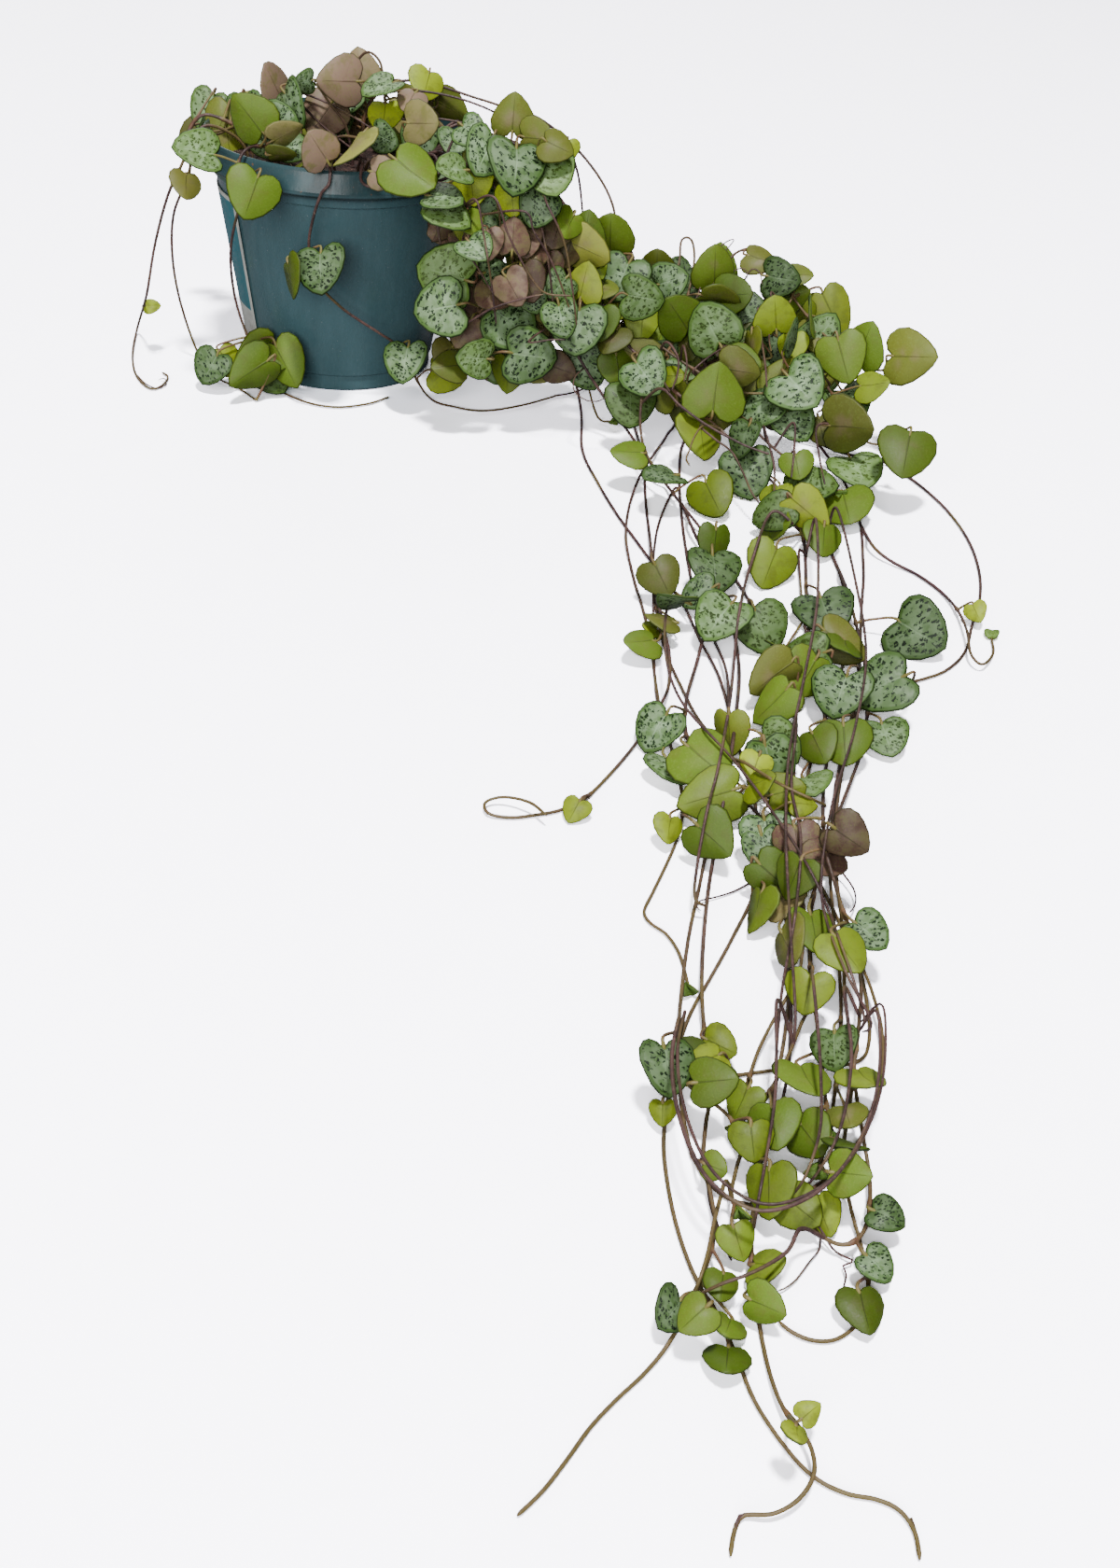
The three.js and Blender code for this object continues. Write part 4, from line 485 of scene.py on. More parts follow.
def draws(seed):
    """The same even draws on every run, from one whole number."""
    state = seed & 0xFFFFFFFF

    def draw():
        nonlocal state
        state = (state + 0x6D2B79F5) & 0xFFFFFFFF
        t = state
        t = ((t ^ (t >> 15)) * (t | 1)) & 0xFFFFFFFF
        t ^= (t + (((t ^ (t >> 7)) * (t | 61)) & 0xFFFFFFFF)) & 0xFFFFFFFF
        return ((t ^ (t >> 14)) & 0xFFFFFFFF) / 4294967296

    return draw


# ---------- the sighting board ----------

BOARD_RIGHT = (1.0, 0.0, 0.0)
BOARD_UP = (0.0, math.sin(PITCH), math.cos(PITCH))
BOARD_AHEAD = (0.0, math.cos(PITCH), -math.sin(PITCH))


def sight(across, down):
    """The direction from the eye through a spot on the board."""
    a, b = across - BOARD_MIDDLE[0], down - BOARD_MIDDLE[1]
    ray = times(BOARD_AHEAD, BOARD_DISTANCE)
    ray = plus(ray, BOARD_RIGHT, math.cos(ROLL) * a + math.sin(ROLL) * b)
    return unit(plus(ray, BOARD_UP, math.sin(ROLL) * a - math.cos(ROLL) * b))


def spot_of(point):
    """The spot on the board where a point is seen."""
    away = minus(point, EYE)
    scale = BOARD_DISTANCE / dot(away, BOARD_AHEAD)
    x, y = dot(away, BOARD_RIGHT) * scale, -dot(away, BOARD_UP) * scale
    return (BOARD_MIDDLE[0] + math.cos(ROLL) * x - math.sin(ROLL) * y,
            BOARD_MIDDLE[1] + math.sin(ROLL) * x + math.cos(ROLL) * y)


def on_ground(across, down, height=REST):
    ray = sight(across, down)
    return plus(EYE, ray, (height - EYE[2]) / ray[2])


def in_air(across, down, depth):
    ray = sight(across, down)
    return plus(EYE, ray, (depth - EYE[1]) / ray[1])


def on_heap(across, down, over):
    """Where the line of sight meets the heap's slope, raised by a height."""
    ray = sight(across, down)
    rise = over - HEAP_SLOPE * HEAP_TOE
    return plus(EYE, ray, (rise + HEAP_SLOPE * EYE[1] - EYE[2]) / (ray[2] - HEAP_SLOPE * ray[1]))


WALL_SLOPE = (POT["wall_top"] - POT["wall_foot"]) / (POT["band_bottom"] - POT["foot_height"])


def wall_radius(height):
    return POT["wall_foot"] + WALL_SLOPE * (height - POT["foot_height"])


def on_wall(across, down, gap):
    """Where the line of sight first meets the pot's tapering wall, moved out by a gap."""
    ray = sight(across, down)
    reach = wall_radius(EYE[2]) + gap
    a = ray[0] ** 2 + ray[1] ** 2 - (WALL_SLOPE * ray[2]) ** 2
    b = EYE[0] * ray[0] + EYE[1] * ray[1] - WALL_SLOPE * ray[2] * reach
    c = EYE[0] ** 2 + EYE[1] ** 2 - reach ** 2
    return plus(EYE, ray, (-b - math.sqrt(max(b * b - a * c, 0))) / a)


CARRIED = {"wall": on_wall, "air": in_air, "heap": on_heap, "ground": on_ground}


def on_circle(radius, degrees, height):
    angle = math.radians(degrees)
    return (radius * math.cos(angle), radius * math.sin(angle), height)


# ---------- the stems' routes ----------

class Cloud:
    """Points in a grid of 3 mm cells, for asking what lies near a place."""

    CELL = 3

    def __init__(self):
        self.cells = {}

    def add(self, point, order=0):
        key = tuple(math.floor(v / self.CELL) for v in point)
        self.cells.setdefault(key, []).append((point, order))

    def near(self, point, reach):
        lowest = [math.floor(v / self.CELL) - 1 for v in point]
        cells = product(*(range(first, first + 3) for first in lowest))
        return [item for cell in cells for item in self.cells.get(cell, ()) if distance(item[0], point) < reach]


def evenly(points, step):
    """Points a step apart along a line through some points, from its start."""
    placed = [points[0]]
    left = step
    for i in range(1, len(points)):
        start = points[i - 1]
        length = distance(start, points[i])
        while length >= left:
            start = between(start, points[i], left / length)
            placed.append(start)
            length = distance(start, points[i])
            left = step
        left -= length
    return placed


def smooth_curve(points, pieces=16):
    """Points on a uniform Catmull-Rom curve through some points."""
    first = plus(points[0], minus(points[0], points[1]))
    last = plus(points[-1], minus(points[-1], points[-2]))
    knots = [first, *points, last]
    made = []
    for i in range(len(points) - 1):
        p0, p1, p2, p3 = knots[i:i + 4]
        for k in range(pieces + (i == len(points) - 2)):
            t = k / pieces
            point = []
            for a, b, c, d in zip(p0, p1, p2, p3):
                t0, t1 = 0.5 * (c - a), 0.5 * (d - b)
                point.append(b + t0 * t + (3 * (c - b) - 2 * t0 - t1) * t ** 2
                             + (2 * (b - c) + t0 + t1) * t ** 3)
            made.append(tuple(point))
    return made


def nearest_on(route, spot):
    offs = [math.hypot(s[0] - spot[0], s[1] - spot[1]) for s in map(spot_of, route)]
    return route[offs.index(min(offs))]


def route_of(stem, laid_routes):
    """The stem's way out of its hole and over the lip, then its listed spots, a step apart."""
    spots = [(way, spot) for way in CARRIED for spot in stem.get(way, ())]
    listed = [CARRIED[way](*spot) for way, spot in spots]
    if "side" in stem:
        points = [nearest_on(laid_routes[stem["side"]], spots[0][1])]
        listed.pop(0)
    else:
        turn, hole = stem["turn"], stem["hole"]
        points = [on_circle(hole, turn, SOIL_TOP - HOLE_DEPTH + 1.2), on_circle(hole, turn, SOIL_TOP + HOLE_RISE)]
        if "free" not in stem:
            points += [on_circle(min(hole + 5, 44), turn, LIP_CROSSING - 4),
                       on_circle(POT["lip_radius"] - 1, turn, LIP_CROSSING),
                       on_circle(POT["flange_radius"] + 3.2, turn, POT["lip_bottom"] + 7)]
    return evenly(smooth_curve(points + listed), STEM_STEP)


def to_eye(point):
    return unit(minus(EYE, point))


def push_off(point, tangent, close):
    """The push that takes a point of a route clear of the nearest of some other points."""
    eyeward = to_eye(point)
    if point[2] < LOW or not close:
        need = max(0.0, (REST - point[2]) / eyeward[2])
        for other in close:
            offset = minus(other, point)
            ahead = dot(offset, eyeward)
            aside = math.sqrt(max(dot(offset, offset) - ahead * ahead, 0))
            need = max(need, ahead + math.sqrt(max(STEM_CLEAR ** 2 - aside ** 2, 0)) + 0.05)
        return times(eyeward, need)
    nearest = min(close, key=lambda other: distance(other, point))
    off = minus(point, nearest)
    need = STEM_CLEAR - size(off) + 0.1
    off = plus(off, tangent, -dot(off, tangent))
    return times(unit(off) if size(off) > 0.1 else eyeward, need)


def laid_over(route, cloud):
    """Lays a stem clear of what was laid before it, and of itself, in long low humps."""
    free, apart = math.ceil(ROOTED / STEM_STEP), math.ceil(OWN_LENGTH / STEM_STEP)
    last = len(route) - 1
    for _ in range(LAYING_ROUNDS):
        shift = [(0.0, 0.0, 0.0)] * len(route)
        own = Cloud()
        moved = False
        for i in range(free, len(route)):
            point = route[i]
            close = [item[0] for item in cloud.near(point, STEM_CLEAR)]
            close += [item[0] for item in own.near(point, STEM_CLEAR) if i - item[1] > apart]
            push = push_off(point, unit(minus(route[min(i + 1, last)], route[i - 1])), close)
            need = size(push)
            own.add(point, i)
            if need < 1e-9:
                continue
            moved = True
            half = math.ceil((HUMP + 3 * need) / STEM_STEP)
            for j in range(max(i - half, free), min(i + half, last) + 1):
                share = 0.5 + 0.5 * math.cos(math.pi * (j - i) / half)
                if need * share > size(shift[j]):
                    shift[j] = times(push, share)
        if not moved:
            break
        route = [plus(point, move) for point, move in zip(route, shift)]
    return route


def thinned(points):
    """The fewest of a route's points that keep its shape, kept closer near the soil and the lip."""
    if len(points) < 3:
        return points
    chord = minus(points[-1], points[0])
    worst, at = 0.0, 0
    for i, point in enumerate(points):
        share = min(max(dot(minus(point, points[0]), chord) / (dot(chord, chord) or 1), 0), 1)
        off = distance(plus(points[0], chord, share), point)
        if math.hypot(point[0], point[1]) < POT_REACH[0] and point[2] > POT_REACH[1]:
            off *= 2
        if off > worst:
            worst, at = off, i
    if worst <= CHORD_ERROR:
        return [points[0], points[-1]]
    return thinned(points[:at + 1])[:-1] + thinned(points[at:])


def laid_stems():
    """Every stem with its smooth route and the places along it where leaves can grow."""
    cloud = Cloud()
    mains = [stem for stem in STEMS if "side" not in stem]
    names = [stem["name"] for stem in mains]
    routes, stems = {}, []
    for stem in mains + [each for each in STEMS if "side" in each]:
        route = laid_over(route_of(stem, routes), cloud)
        for point in route:
            cloud.add(point)
        steps = evenly(thinned(route), STEM_STEP)
        routes[stem["name"]] = steps
        bare = math.ceil(BARE["side" if "side" in stem else "main"] / STEM_STEP)
        places = steps[bare:]
        stems.append({"owner": stem.get("side", stem["name"]), "route": route, "places": places,
                      "spots": np.array([spot_of(p) for p in places])})
    return names, stems


def screens(leaves):
    """Each leaf as it hides what is behind it: outline and box on the board, plane, and reach of depth."""
    made = []
    for leaf in leaves:
        rim = [heart_point(side * HIDING_WIDTH * x, y, leaf) for side in (1, -1) for x, y in HALF_OUTLINE[::side]]
        outline = [spot_of(point) for point in rim]
        box = [pick(spot[k] for spot in outline) for k in (0, 1) for pick in (min, max)]
        depths = [distance(point, EYE) for point in rim]
        made.append((outline, box, leaf["notch"], leaf["upper"], min(depths), max(depths)))
    return made


def inside(outline, spot):
    crossings = 0
    for (ax, ay), (bx, by) in zip(outline, outline[1:] + outline[:1]):
        if (ay > spot[1]) != (by > spot[1]) and spot[0] < ax + (bx - ax) * (spot[1] - ay) / (by - ay):
            crossings += 1
    return crossings % 2 == 1


def woven(points, hiding, forward):
    """A runner moved along the lines of sight, so that it passes over or under each leaf in its way and
    through none. Its ends stay, and it passes under a leaf that an end lies beneath."""
    rays = [unit(minus(point, EYE)) for point in points]
    depths = [distance(point, EYE) for point in points]
    least = [0.0] * len(points)
    most = [(EYE[2] - RUNNER_REST) / -ray[2] if ray[2] < -0.05 else math.inf for ray in rays]
    spots = [spot_of(point) for point in points]
    runs = []
    for outline, (left, right, top, bottom), notch, upper, near, far in hiding:
        run = []
        for i, spot in enumerate([*spots, OFF_BOARD]):
            if left < spot[0] < right and top < spot[1] < bottom and inside(outline, spot):
                slant = dot(rays[i], upper)
                plane = dot(minus(notch, EYE), upper) / slant if abs(slant) > 0.05 else (near + far) / 2
                run.append((i, min(max(plane, near), far)))
                continue
            if run:
                beneath = any(depths[k] > depth for k, depth in run if k in (0, len(points) - 1))
                behind = sum(depths[k] - depth for k, depth in run) / len(run) > forward
                runs.append((not beneath, not behind, run))
            run = []
    for above, ahead, run in sorted(runs, key=lambda each: each[:2]):
        over = above and ahead and all(least[k] < depth - OVER_LEAF for k, depth in run)
        for k, depth in run:
            if over:
                most[k] = min(most[k], depth - OVER_LEAF)
            else:
                least[k] = max(least[k], depth + UNDER_LEAF)
    moved = list(depths)
    for _ in range(EASING_ROUNDS):
        for i in range(1, len(points) - 1):
            eased = (moved[i - 1] + 2 * moved[i] + moved[i + 1]) / 4
            moved[i] = min(max(eased, least[i]), most[i])
    return [plus(EYE, ray, depth) for ray, depth in zip(rays, moved)]


def laid_runners(stems, hiding):
    """The thin runners, each growing from the stem that is nearest to its first spot."""
    laid = []
    for way, runners in RUNNERS.items():
        for depth, radius, youth, spots in runners:
            points = [CARRIED[way](*spot, depth) for spot in spots]
            stem = nearest_stem(stems, points[0])
            root = nearest_point(stem["route"], points[0])
            if distance(root, points[0]) > 1:
                points.insert(0, root)
            loose = way == "ground" and depth > LOOSE_RUNNER
            if loose:
                points.append(nearest_point([p for each in stems for p in each["route"]], points[-1]))
            route = woven(evenly(smooth_curve(points, 8), RUNNER_STEP), hiding, 40 if loose else 2)
            laid.append({"owner": stem["owner"], "route": route, "radius": radius, "youth": youth})
    return laid


def leaf_facts(midrib, upper, **facts):
    return {"midrib": midrib, "upper": upper, "across": cross(midrib, upper), **facts}


def tip_leaves(stems):
    """A pair of tiny young leaves at the tip of every stem that doesn't end bare."""
    made = {}
    for number, stem in enumerate(stems):
        random = draws(TIP_SEED + number)
        tip, before = stem["route"][-1], stem["route"][-4]
        across, down = spot_of(tip)
        if across < TIPS_FROM[0] or down > TIPS_FROM[1]:
            continue
        ahead = unit(minus(tip, before))
        for side in (-1, 1):
            eyeward = to_eye(tip)
            midrib = turned_about(ahead, eyeward, side * math.radians(25 + 45 * random()))
            midrib = unit(plus((midrib[0], midrib[1], max(midrib[2], 0.12)), eyeward, 0.35 * random()))
            upper = unit(plus(eyeward, midrib, -dot(eyeward, midrib)))
            upper = turned_about(upper, midrib, side * math.radians(15 + 45 * random()))
            made.setdefault(stem["owner"], []).append(leaf_facts(
                midrib, upper, kind="young", length=3 + 2 * random(), width=0.72, fold=0.5, curl=0.1,
                number=TIP_SEED + 2 * number + side, notch=plus(tip, midrib, 0.3)))
    return made


def filler_leaves(stems):
    """Leaves deep in the mass, each on a stalk from the stem that is nearest to it."""
    made = {}
    for patch, (way, count, acrosses, downs, depths, lengths, kinds) in enumerate(FILLERS):
        random = draws(FILLER_SEED + patch)
        for number in range(count):
            across, down, depth, length = (low + (high - low) * random()
                                           for low, high in (acrosses, downs, depths, lengths))
            notch = CARRIED[way](across, down, depth)
            stem = nearest_stem(stems, notch)
            kind = kinds[number % len(kinds)]
            eyeward = to_eye(notch)
            facing = 1 if kind == "marbled" else -1
            aside = unit(cross(eyeward, (0.0, 0.0, 1.0)))
            downward = cross(eyeward, aside)
            turn = 360 * random() if way == "heap" else 150 * (random() - 0.5)
            midrib = plus(times(downward, math.cos(math.radians(turn))), aside, math.sin(math.radians(turn)))
            midrib = unit(plus(midrib, eyeward, 0.5 * (random() - 0.5)))
            upper = unit(plus(times(eyeward, facing), midrib, -facing * dot(eyeward, midrib)))
            upper = turned_about(upper, midrib, math.radians(60 * (random() - 0.5)))
            dip = length * (max(-midrib[2], 0) + 0.5 * abs(cross(midrib, upper)[2]))
            notch = (notch[0], notch[1], max(notch[2], FLOOR_CLEAR + dip))
            made.setdefault(stem["owner"], []).append(leaf_facts(
                midrib, upper, kind=kind, length=length, width=0.92, fold=0.16 + 0.3 * random(), curl=0.12,
                number=FILLER_NUMBER + 100 * patch + number, notch=notch, foot=nearest_point(stem["route"], notch)))
    return made


# ---------- the leaves' places ----------

def growing_places(spot, stems):
    """The places that a leaf seen at a spot may grow from, each on another stem, nearest to the eye first."""
    found = []
    for stem in stems:
        offs = np.hypot(stem["spots"][:, 0] - spot[0], stem["spots"][:, 1] - spot[1])
        best = int(offs.argmin())
        found.append((float(offs[best]), stem["places"][best], stem["owner"]))
    least = min(off for off, _, _ in found)
    close = [item for item in found if item[0] < least + STALK_REACH]
    close.sort(key=lambda item: item[0] + distance(item[1], EYE))
    return [(point, owner) for _, point, owner in close[:STALK_PLACES]]


def board_way(point, degrees):
    """The board's way down, turned to the right by an angle, at a point in space."""
    eyeward = to_eye(point)
    angle = math.radians(degrees) + ROLL
    way = plus(times(BOARD_RIGHT, math.sin(angle)), BOARD_UP, -math.cos(angle))
    return unit(plus(way, eyeward, -dot(way, eyeward)))


def notch_spot(spot, length, turn):
    """The spot on the board of a leaf's notch, from that of its middle."""
    way = math.radians(turn)
    back = (0.4 * length + 3) / (distance(on_ground(*spot, 0), EYE) / BOARD_DISTANCE)
    return (spot[0] - math.sin(way) * back, spot[1] - math.cos(way) * back)


HEART = [(0.27, -0.17), (0.53, 0.14), (0.42, 0.64), (0, 1)]
SMALL_HEART = [(0.36, -0.14), (0.5, 0.42), (0, 1)]
STALK_RADIUS = 0.45


def half_thickness(length):
    return BLADE["small" if length < SMALL_BLADE else "large"] / 2


def heart_point(x, y, leaf):
    length = leaf["length"]
    width = leaf["width"] * length
    lift = leaf["fold"] * abs(x) * width - leaf["curl"] * length * (y - CURL_MIDDLE) ** 2
    point = plus(plus(leaf["notch"], leaf["across"], x * width), leaf["midrib"], y * length)
    return plus(point, leaf["upper"], lift)


def leaf_try(entry, length, foot, random, number):
    """One way of setting a leaf: turned, tipped and moved by seeded amounts, which are larger for a later try."""
    def sway(first, growth):
        return (random() - 0.5) * (first + growth * late)

    kind, spot, turn, lean = entry
    late = number / TRIES
    way = turn + sway(20, 50)
    tip = math.radians(sway(44, 30))
    yaw = math.radians(lean + sway(60, 30))
    nearer = 2 + random() * 3
    back = math.radians(random() * 25 + late * 42 if foot[2] < LOW else (random() - 0.3) * 30)
    ray = sight(spot[0] + sway(0, 26), spot[1] + sway(0, 26))
    centre = plus(EYE, ray, distance(foot, EYE) - nearer)
    eyeward = times(ray, -1)
    downward = board_way(centre, way)
    midrib = plus(times(downward, math.cos(tip)), eyeward, math.sin(tip))
    facing = plus(times(eyeward, math.cos(tip)), downward, -math.sin(tip))
    facing = turned_about(turned_about(facing, midrib, yaw), BOARD_RIGHT, -back)
    midrib = turned_about(midrib, BOARD_RIGHT, -back)
    upper = facing if kind == "marbled" else times(facing, -1)
    leaf = leaf_facts(
        midrib, upper, kind=kind, length=length, width=1.06 + 0.14 * random(), fold=0.1 + 0.25 * random(),
        curl=-0.05 + 0.3 * random(), notch=plus(centre, midrib, -0.4 * length), foot=foot)
    reach = distance(leaf["notch"], foot)
    if reach > LONGEST_STALK:
        leaf["notch"] = between(leaf["notch"], foot, 1 - LONGEST_STALK / reach)
    beside = STALK_RADIUS / (leaf["width"] * length)
    half = [(beside, 0)] + (SMALL_HEART if length < SMALL_BLADE else HEART)
    lowest = min(min(heart_point(x, y, leaf)[2], heart_point(-x, y, leaf)[2]) for x, y in half)
    if lowest < FLOOR_CLEAR:
        leaf["notch"] = plus(leaf["notch"], eyeward, (FLOOR_CLEAR - lowest) / eyeward[2])
    return leaf


def grown_leaves(stems, trees):
    """Each listed leaf as it is set on its stem: the way of setting it whose tip the frame has."""
    entries = []
    for kind, rows in LEAVES.items():
        for across, down, listed, turn, *lean in rows:
            length = LEAF_SCALE * listed
            entries.append((int(length < LARGE_BLADE), down, across, kind, length, turn, *(lean or [0])))
    entries.sort(key=lambda e: e[:3])
    grown = {}
    for number, (_, down, across, kind, length, turn, lean) in enumerate(entries):
        random = draws(SEED + 101 * number)
        leaf = found_leaf((kind, (across, down), turn, lean), length, random, stems, trees)
        if leaf:
            leaf["number"] = number
            grown.setdefault(leaf["owner"], []).append(leaf)
    return grown


def found_leaf(entry, full_length, random, stems, trees):
    """The first try, in the frame's own order of growing places and sizes, whose tip the frame has."""
    growing = growing_places(notch_spot(entry[1], full_length, entry[2]), stems)
    for k in range(SIZES * len(growing) * TRIES):
        foot, owner = growing[(k // TRIES) % len(growing)]
        length = full_length * SMALLER ** (k // (TRIES * len(growing)))
        leaf = leaf_try(entry, length, foot, random, k % TRIES)
        for _ in range(RISES):
            tip = plus(heart_point(0, 1, leaf), leaf["upper"], half_thickness(length))
            if trees[owner].find(times(tip, MM))[2] < TIP_MATCH * MM:
                leaf["owner"] = owner
                return leaf
            leaf["notch"] = plus(leaf["notch"], to_eye(leaf["notch"]), RISE)
    return None


# ---------- modelling helpers ----------

def only(piece):
    """Leaves one piece selected and active."""
    bpy.ops.object.select_all(action="DESELECT")
    piece.select_set(True)
    bpy.context.view_layer.objects.active = piece
    return piece


def named(name):
    """The active piece, under its own name."""
    piece = bpy.context.active_object
    piece.name = name
    piece.data.name = name
    return piece


def added(name, primitive, **values):
    """A new primitive under its own name, with nothing else selected."""
    bpy.ops.object.select_all(action="DESELECT")
    primitive(**values)
    return named(name)


def start_edit(piece, action="SELECT"):
    """Opens a piece in edit mode, with all of it selected or nothing."""
    only(piece)
    bpy.ops.object.mode_set(mode="EDIT")
    bpy.ops.mesh.select_all(action=action)


def leave_edit():
    bpy.ops.object.mode_set(mode="OBJECT")


def face_outward(piece):
    start_edit(piece)
    bpy.ops.mesh.normals_make_consistent(inside=False)
    leave_edit()


def apply_all(piece):
    only(piece)
    for modifier in list(piece.modifiers):
        bpy.ops.object.modifier_apply(modifier=modifier.name)


def set_points(mesh, points):
    mesh.vertices.foreach_set("co", np.asarray(points, np.float32).ravel())
    mesh.update()


def points_of(mesh):
    points = np.zeros(len(mesh.vertices) * 3, np.float32)
    mesh.vertices.foreach_get("co", points)
    return points.reshape(-1, 3)


def set_attribute(mesh, name, values):
    """A number for each point, which the materials read by name."""
    made = mesh.attributes.new(name, "FLOAT", "POINT")
    values = np.broadcast_to(np.asarray(values, np.float32), (len(mesh.vertices),))
    made.data.foreach_set("value", np.ascontiguousarray(values))


def rounded(corners, arc=4):
    """An open outline of (radius, height, rounding) corners, as points in mm with its corners rounded."""
    points = [corners[0][:2]]
    for before, (x, y, radius), after in zip(corners, corners[1:], corners[2:]):
        if not radius:
            points.append((x, y))
            continue
        here = Vector((x, y))
        to_before, to_after = Vector(before[:2]) - here, Vector(after[:2]) - here
        half = to_before.angle(to_after) / 2
        reach = min(radius / math.tan(half), 0.48 * to_before.length, 0.48 * to_after.length)
        start, end = here + to_before.normalized() * reach, here + to_after.normalized() * reach
        for k in range(arc + 1):
            t = k / arc
            points.append(tuple(start * (1 - t) ** 2 + here * 2 * t * (1 - t) + end * t ** 2))
    points.append(corners[-1][:2])
    return points


def spun(name, outline, segments):
    """A closed body of revolution about Z, from an outline that runs from the axis to the axis."""
    piece = added(name, bpy.ops.mesh.primitive_circle_add, vertices=len(outline), radius=1, fill_type="NOTHING")
    set_points(piece.data, [(radius * MM, 0, height * MM) for radius, height in outline])
    start_edit(piece, "DESELECT")
    bpy.ops.mesh.select_mode(type="EDGE")
    leave_edit()
    ends = {0, len(outline) - 1}
    for edge in piece.data.edges:
        edge.select = set(edge.vertices) == ends
    bpy.ops.object.mode_set(mode="EDIT")
    bpy.ops.mesh.delete(type="EDGE")
    bpy.ops.mesh.select_all(action="SELECT")
    bpy.ops.mesh.spin(steps=segments, angle=2 * math.pi, center=(0, 0, 0), axis=(0, 0, 1))
    bpy.ops.mesh.select_all(action="SELECT")
    bpy.ops.mesh.remove_doubles(threshold=0.00001)
    bpy.ops.mesh.normals_make_consistent(inside=False)
    leave_edit()
    return piece


def smooth(piece, degrees=38):
    only(piece)
    bpy.ops.object.shade_smooth_by_angle(angle=math.radians(degrees))


def dress(piece, materials, slot, *nodes):
    """Gives a finished piece its materials and its body, and hides the frame nodes it stands for. The slot is not
    used.
    """
    for material in materials:
        piece.data.materials.append(material)
    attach(piece, BODY)
    if nodes:
        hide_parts(*nodes)
    return piece


# ---------- the pot, its soil and its label ----------

POT_OUTLINE = [
    (0, 0, 0), (26, 0, 0), (37.2, 0, 0), (38, 0.8, 1), (38, 6.4, 0.3), (38.35, 6.75, 0.3), (38.9, 6.8, 0.4),
    (49.9, 78.6, 0.5), (51.5, 79.3, 0.6), (51.5, 83.6, 0.4), (56.6, 84.0, 0.5), (57, 84.6, 0.5),
    (57, 86, 0.8), (54.9, 92.9, 0.9), (54.3, 94, 0.7), (53.4, 94, 0.6), (53.1, 93, 0.6),
    (51.7, 85.6, 0.7), (48.7, 79, 0.6), (36.8, 2.6, 0.8), (24, 2.2, 0), (0, 2.2, 0),
]
DRAIN = {"ring": 27, "radius": 4, "depth": 8, "middle": 1.1}


def make_pot(name, settings):
    pot = spun(name, rounded(POT_OUTLINE), settings.segments)
    drills = []
    for i in range(settings.drain_holes):
        spot = times(on_circle(DRAIN["ring"], 360 * i / settings.drain_holes, DRAIN["middle"]), MM)
        drills.append(added(f"drill_{i}", bpy.ops.mesh.primitive_cylinder_add, vertices=24,
                            radius=DRAIN["radius"] * MM, depth=DRAIN["depth"] * MM, location=spot))
    for drill in drills:
        modifier = pot.modifiers.new("drain", "BOOLEAN")
        modifier.object = drill
        modifier.solver = "EXACT"
    apply_all(pot)
    for drill in drills:
        bpy.data.objects.remove(drill)
    smooth(pot)
    return pot


SOIL_CROWN = 1.2
SOIL_SPREAD = 49.5  # radius at which the lumps have died away


def make_soil(name, settings):
    """The soil's crumbly body: a disc of close rings, raised and pitted by two sizes of lump."""
    rings = [(radius, SOIL_TOP + SOIL_CROWN - 0.8 * (radius / 46) ** 2) for radius in np.arange(0, 47, 1.1)]
    outline = [(0, 2.6), (36.0, 2.6), (47.9, 78.6), (48.6, 82.2), *rings[::-1]]
    soil = spun(name, outline, 140)
    points = points_of(soil.data)
    for point in points:
        if point[2] < 0.08:
            continue
        place = Vector(point) / MM
        share = min(1, (SOIL_SPREAD - math.hypot(place.x, place.y)) / 4)
        broad = noise.noise(place * 0.14) * 1.1
        lumps = noise.fractal(place * settings.lump_scale, 1.0, 2.0, 3) * settings.lump_height
        point[2] += (broad + lumps) * MM * max(share, 0)
    set_points(soil.data, points)
    smooth(soil, 60)
    return soil


LABEL = {"first": 165, "last": 223, "bottom": 12.5, "top": 73.5, "lift": 0.5, "card": 0.4}  # degrees and mm


def make_label(name, settings):
    """A plain card label with rounded corners, bent round the pot's wall."""
    first, bottom = LABEL["first"], LABEL["bottom"]
    width, height = LABEL["last"] - first, LABEL["top"] - bottom
    label = added(name, bpy.ops.mesh.primitive_plane_add, size=1)
    set_points(label.data, [((v.co.x + 0.5) * width, 0, (v.co.y + 0.5) * height) for v in label.data.vertices])
    start_edit(label)
    bpy.ops.mesh.bevel(offset=settings.corner, segments=5, affect="VERTICES")
    for axis, cuts, length in (((1, 0, 0), 20, width), ((0, 0, 1), 6, height)):
        for k in range(1, cuts):
            bpy.ops.mesh.select_all(action="SELECT")
            bpy.ops.mesh.bisect(plane_co=[length * k / cuts * way for way in axis], plane_no=axis)
    leave_edit()
    flat = points_of(label.data).copy()
    bent = []
    for x, _, z in flat:
        lift = LABEL["lift"] + settings.curl * max(0, (x - 0.75 * width) / (0.25 * width)) ** 2
        bent.append(times(on_circle(wall_radius(bottom + z) + lift, first + x, bottom + z), MM))
    set_points(label.data, bent)
    set_attribute(label.data, "label_across", flat[:, 0] / width)
    set_attribute(label.data, "label_up", flat[:, 2] / height)
    face_outward(label)
    card = label.modifiers.new("card", "SOLIDIFY")
    card.thickness = LABEL["card"] * MM
    card.offset = 0
    apply_all(label)
    face_outward(label)
    smooth(label)
    return label


# ---------- the vines ----------

def drawn(points, step):
    """Points a step apart, with the last one kept."""
    made = evenly(points, step)
    if distance(made[-1], points[-1]) > 0.3 * step:
        made.append(points[-1])
    return made


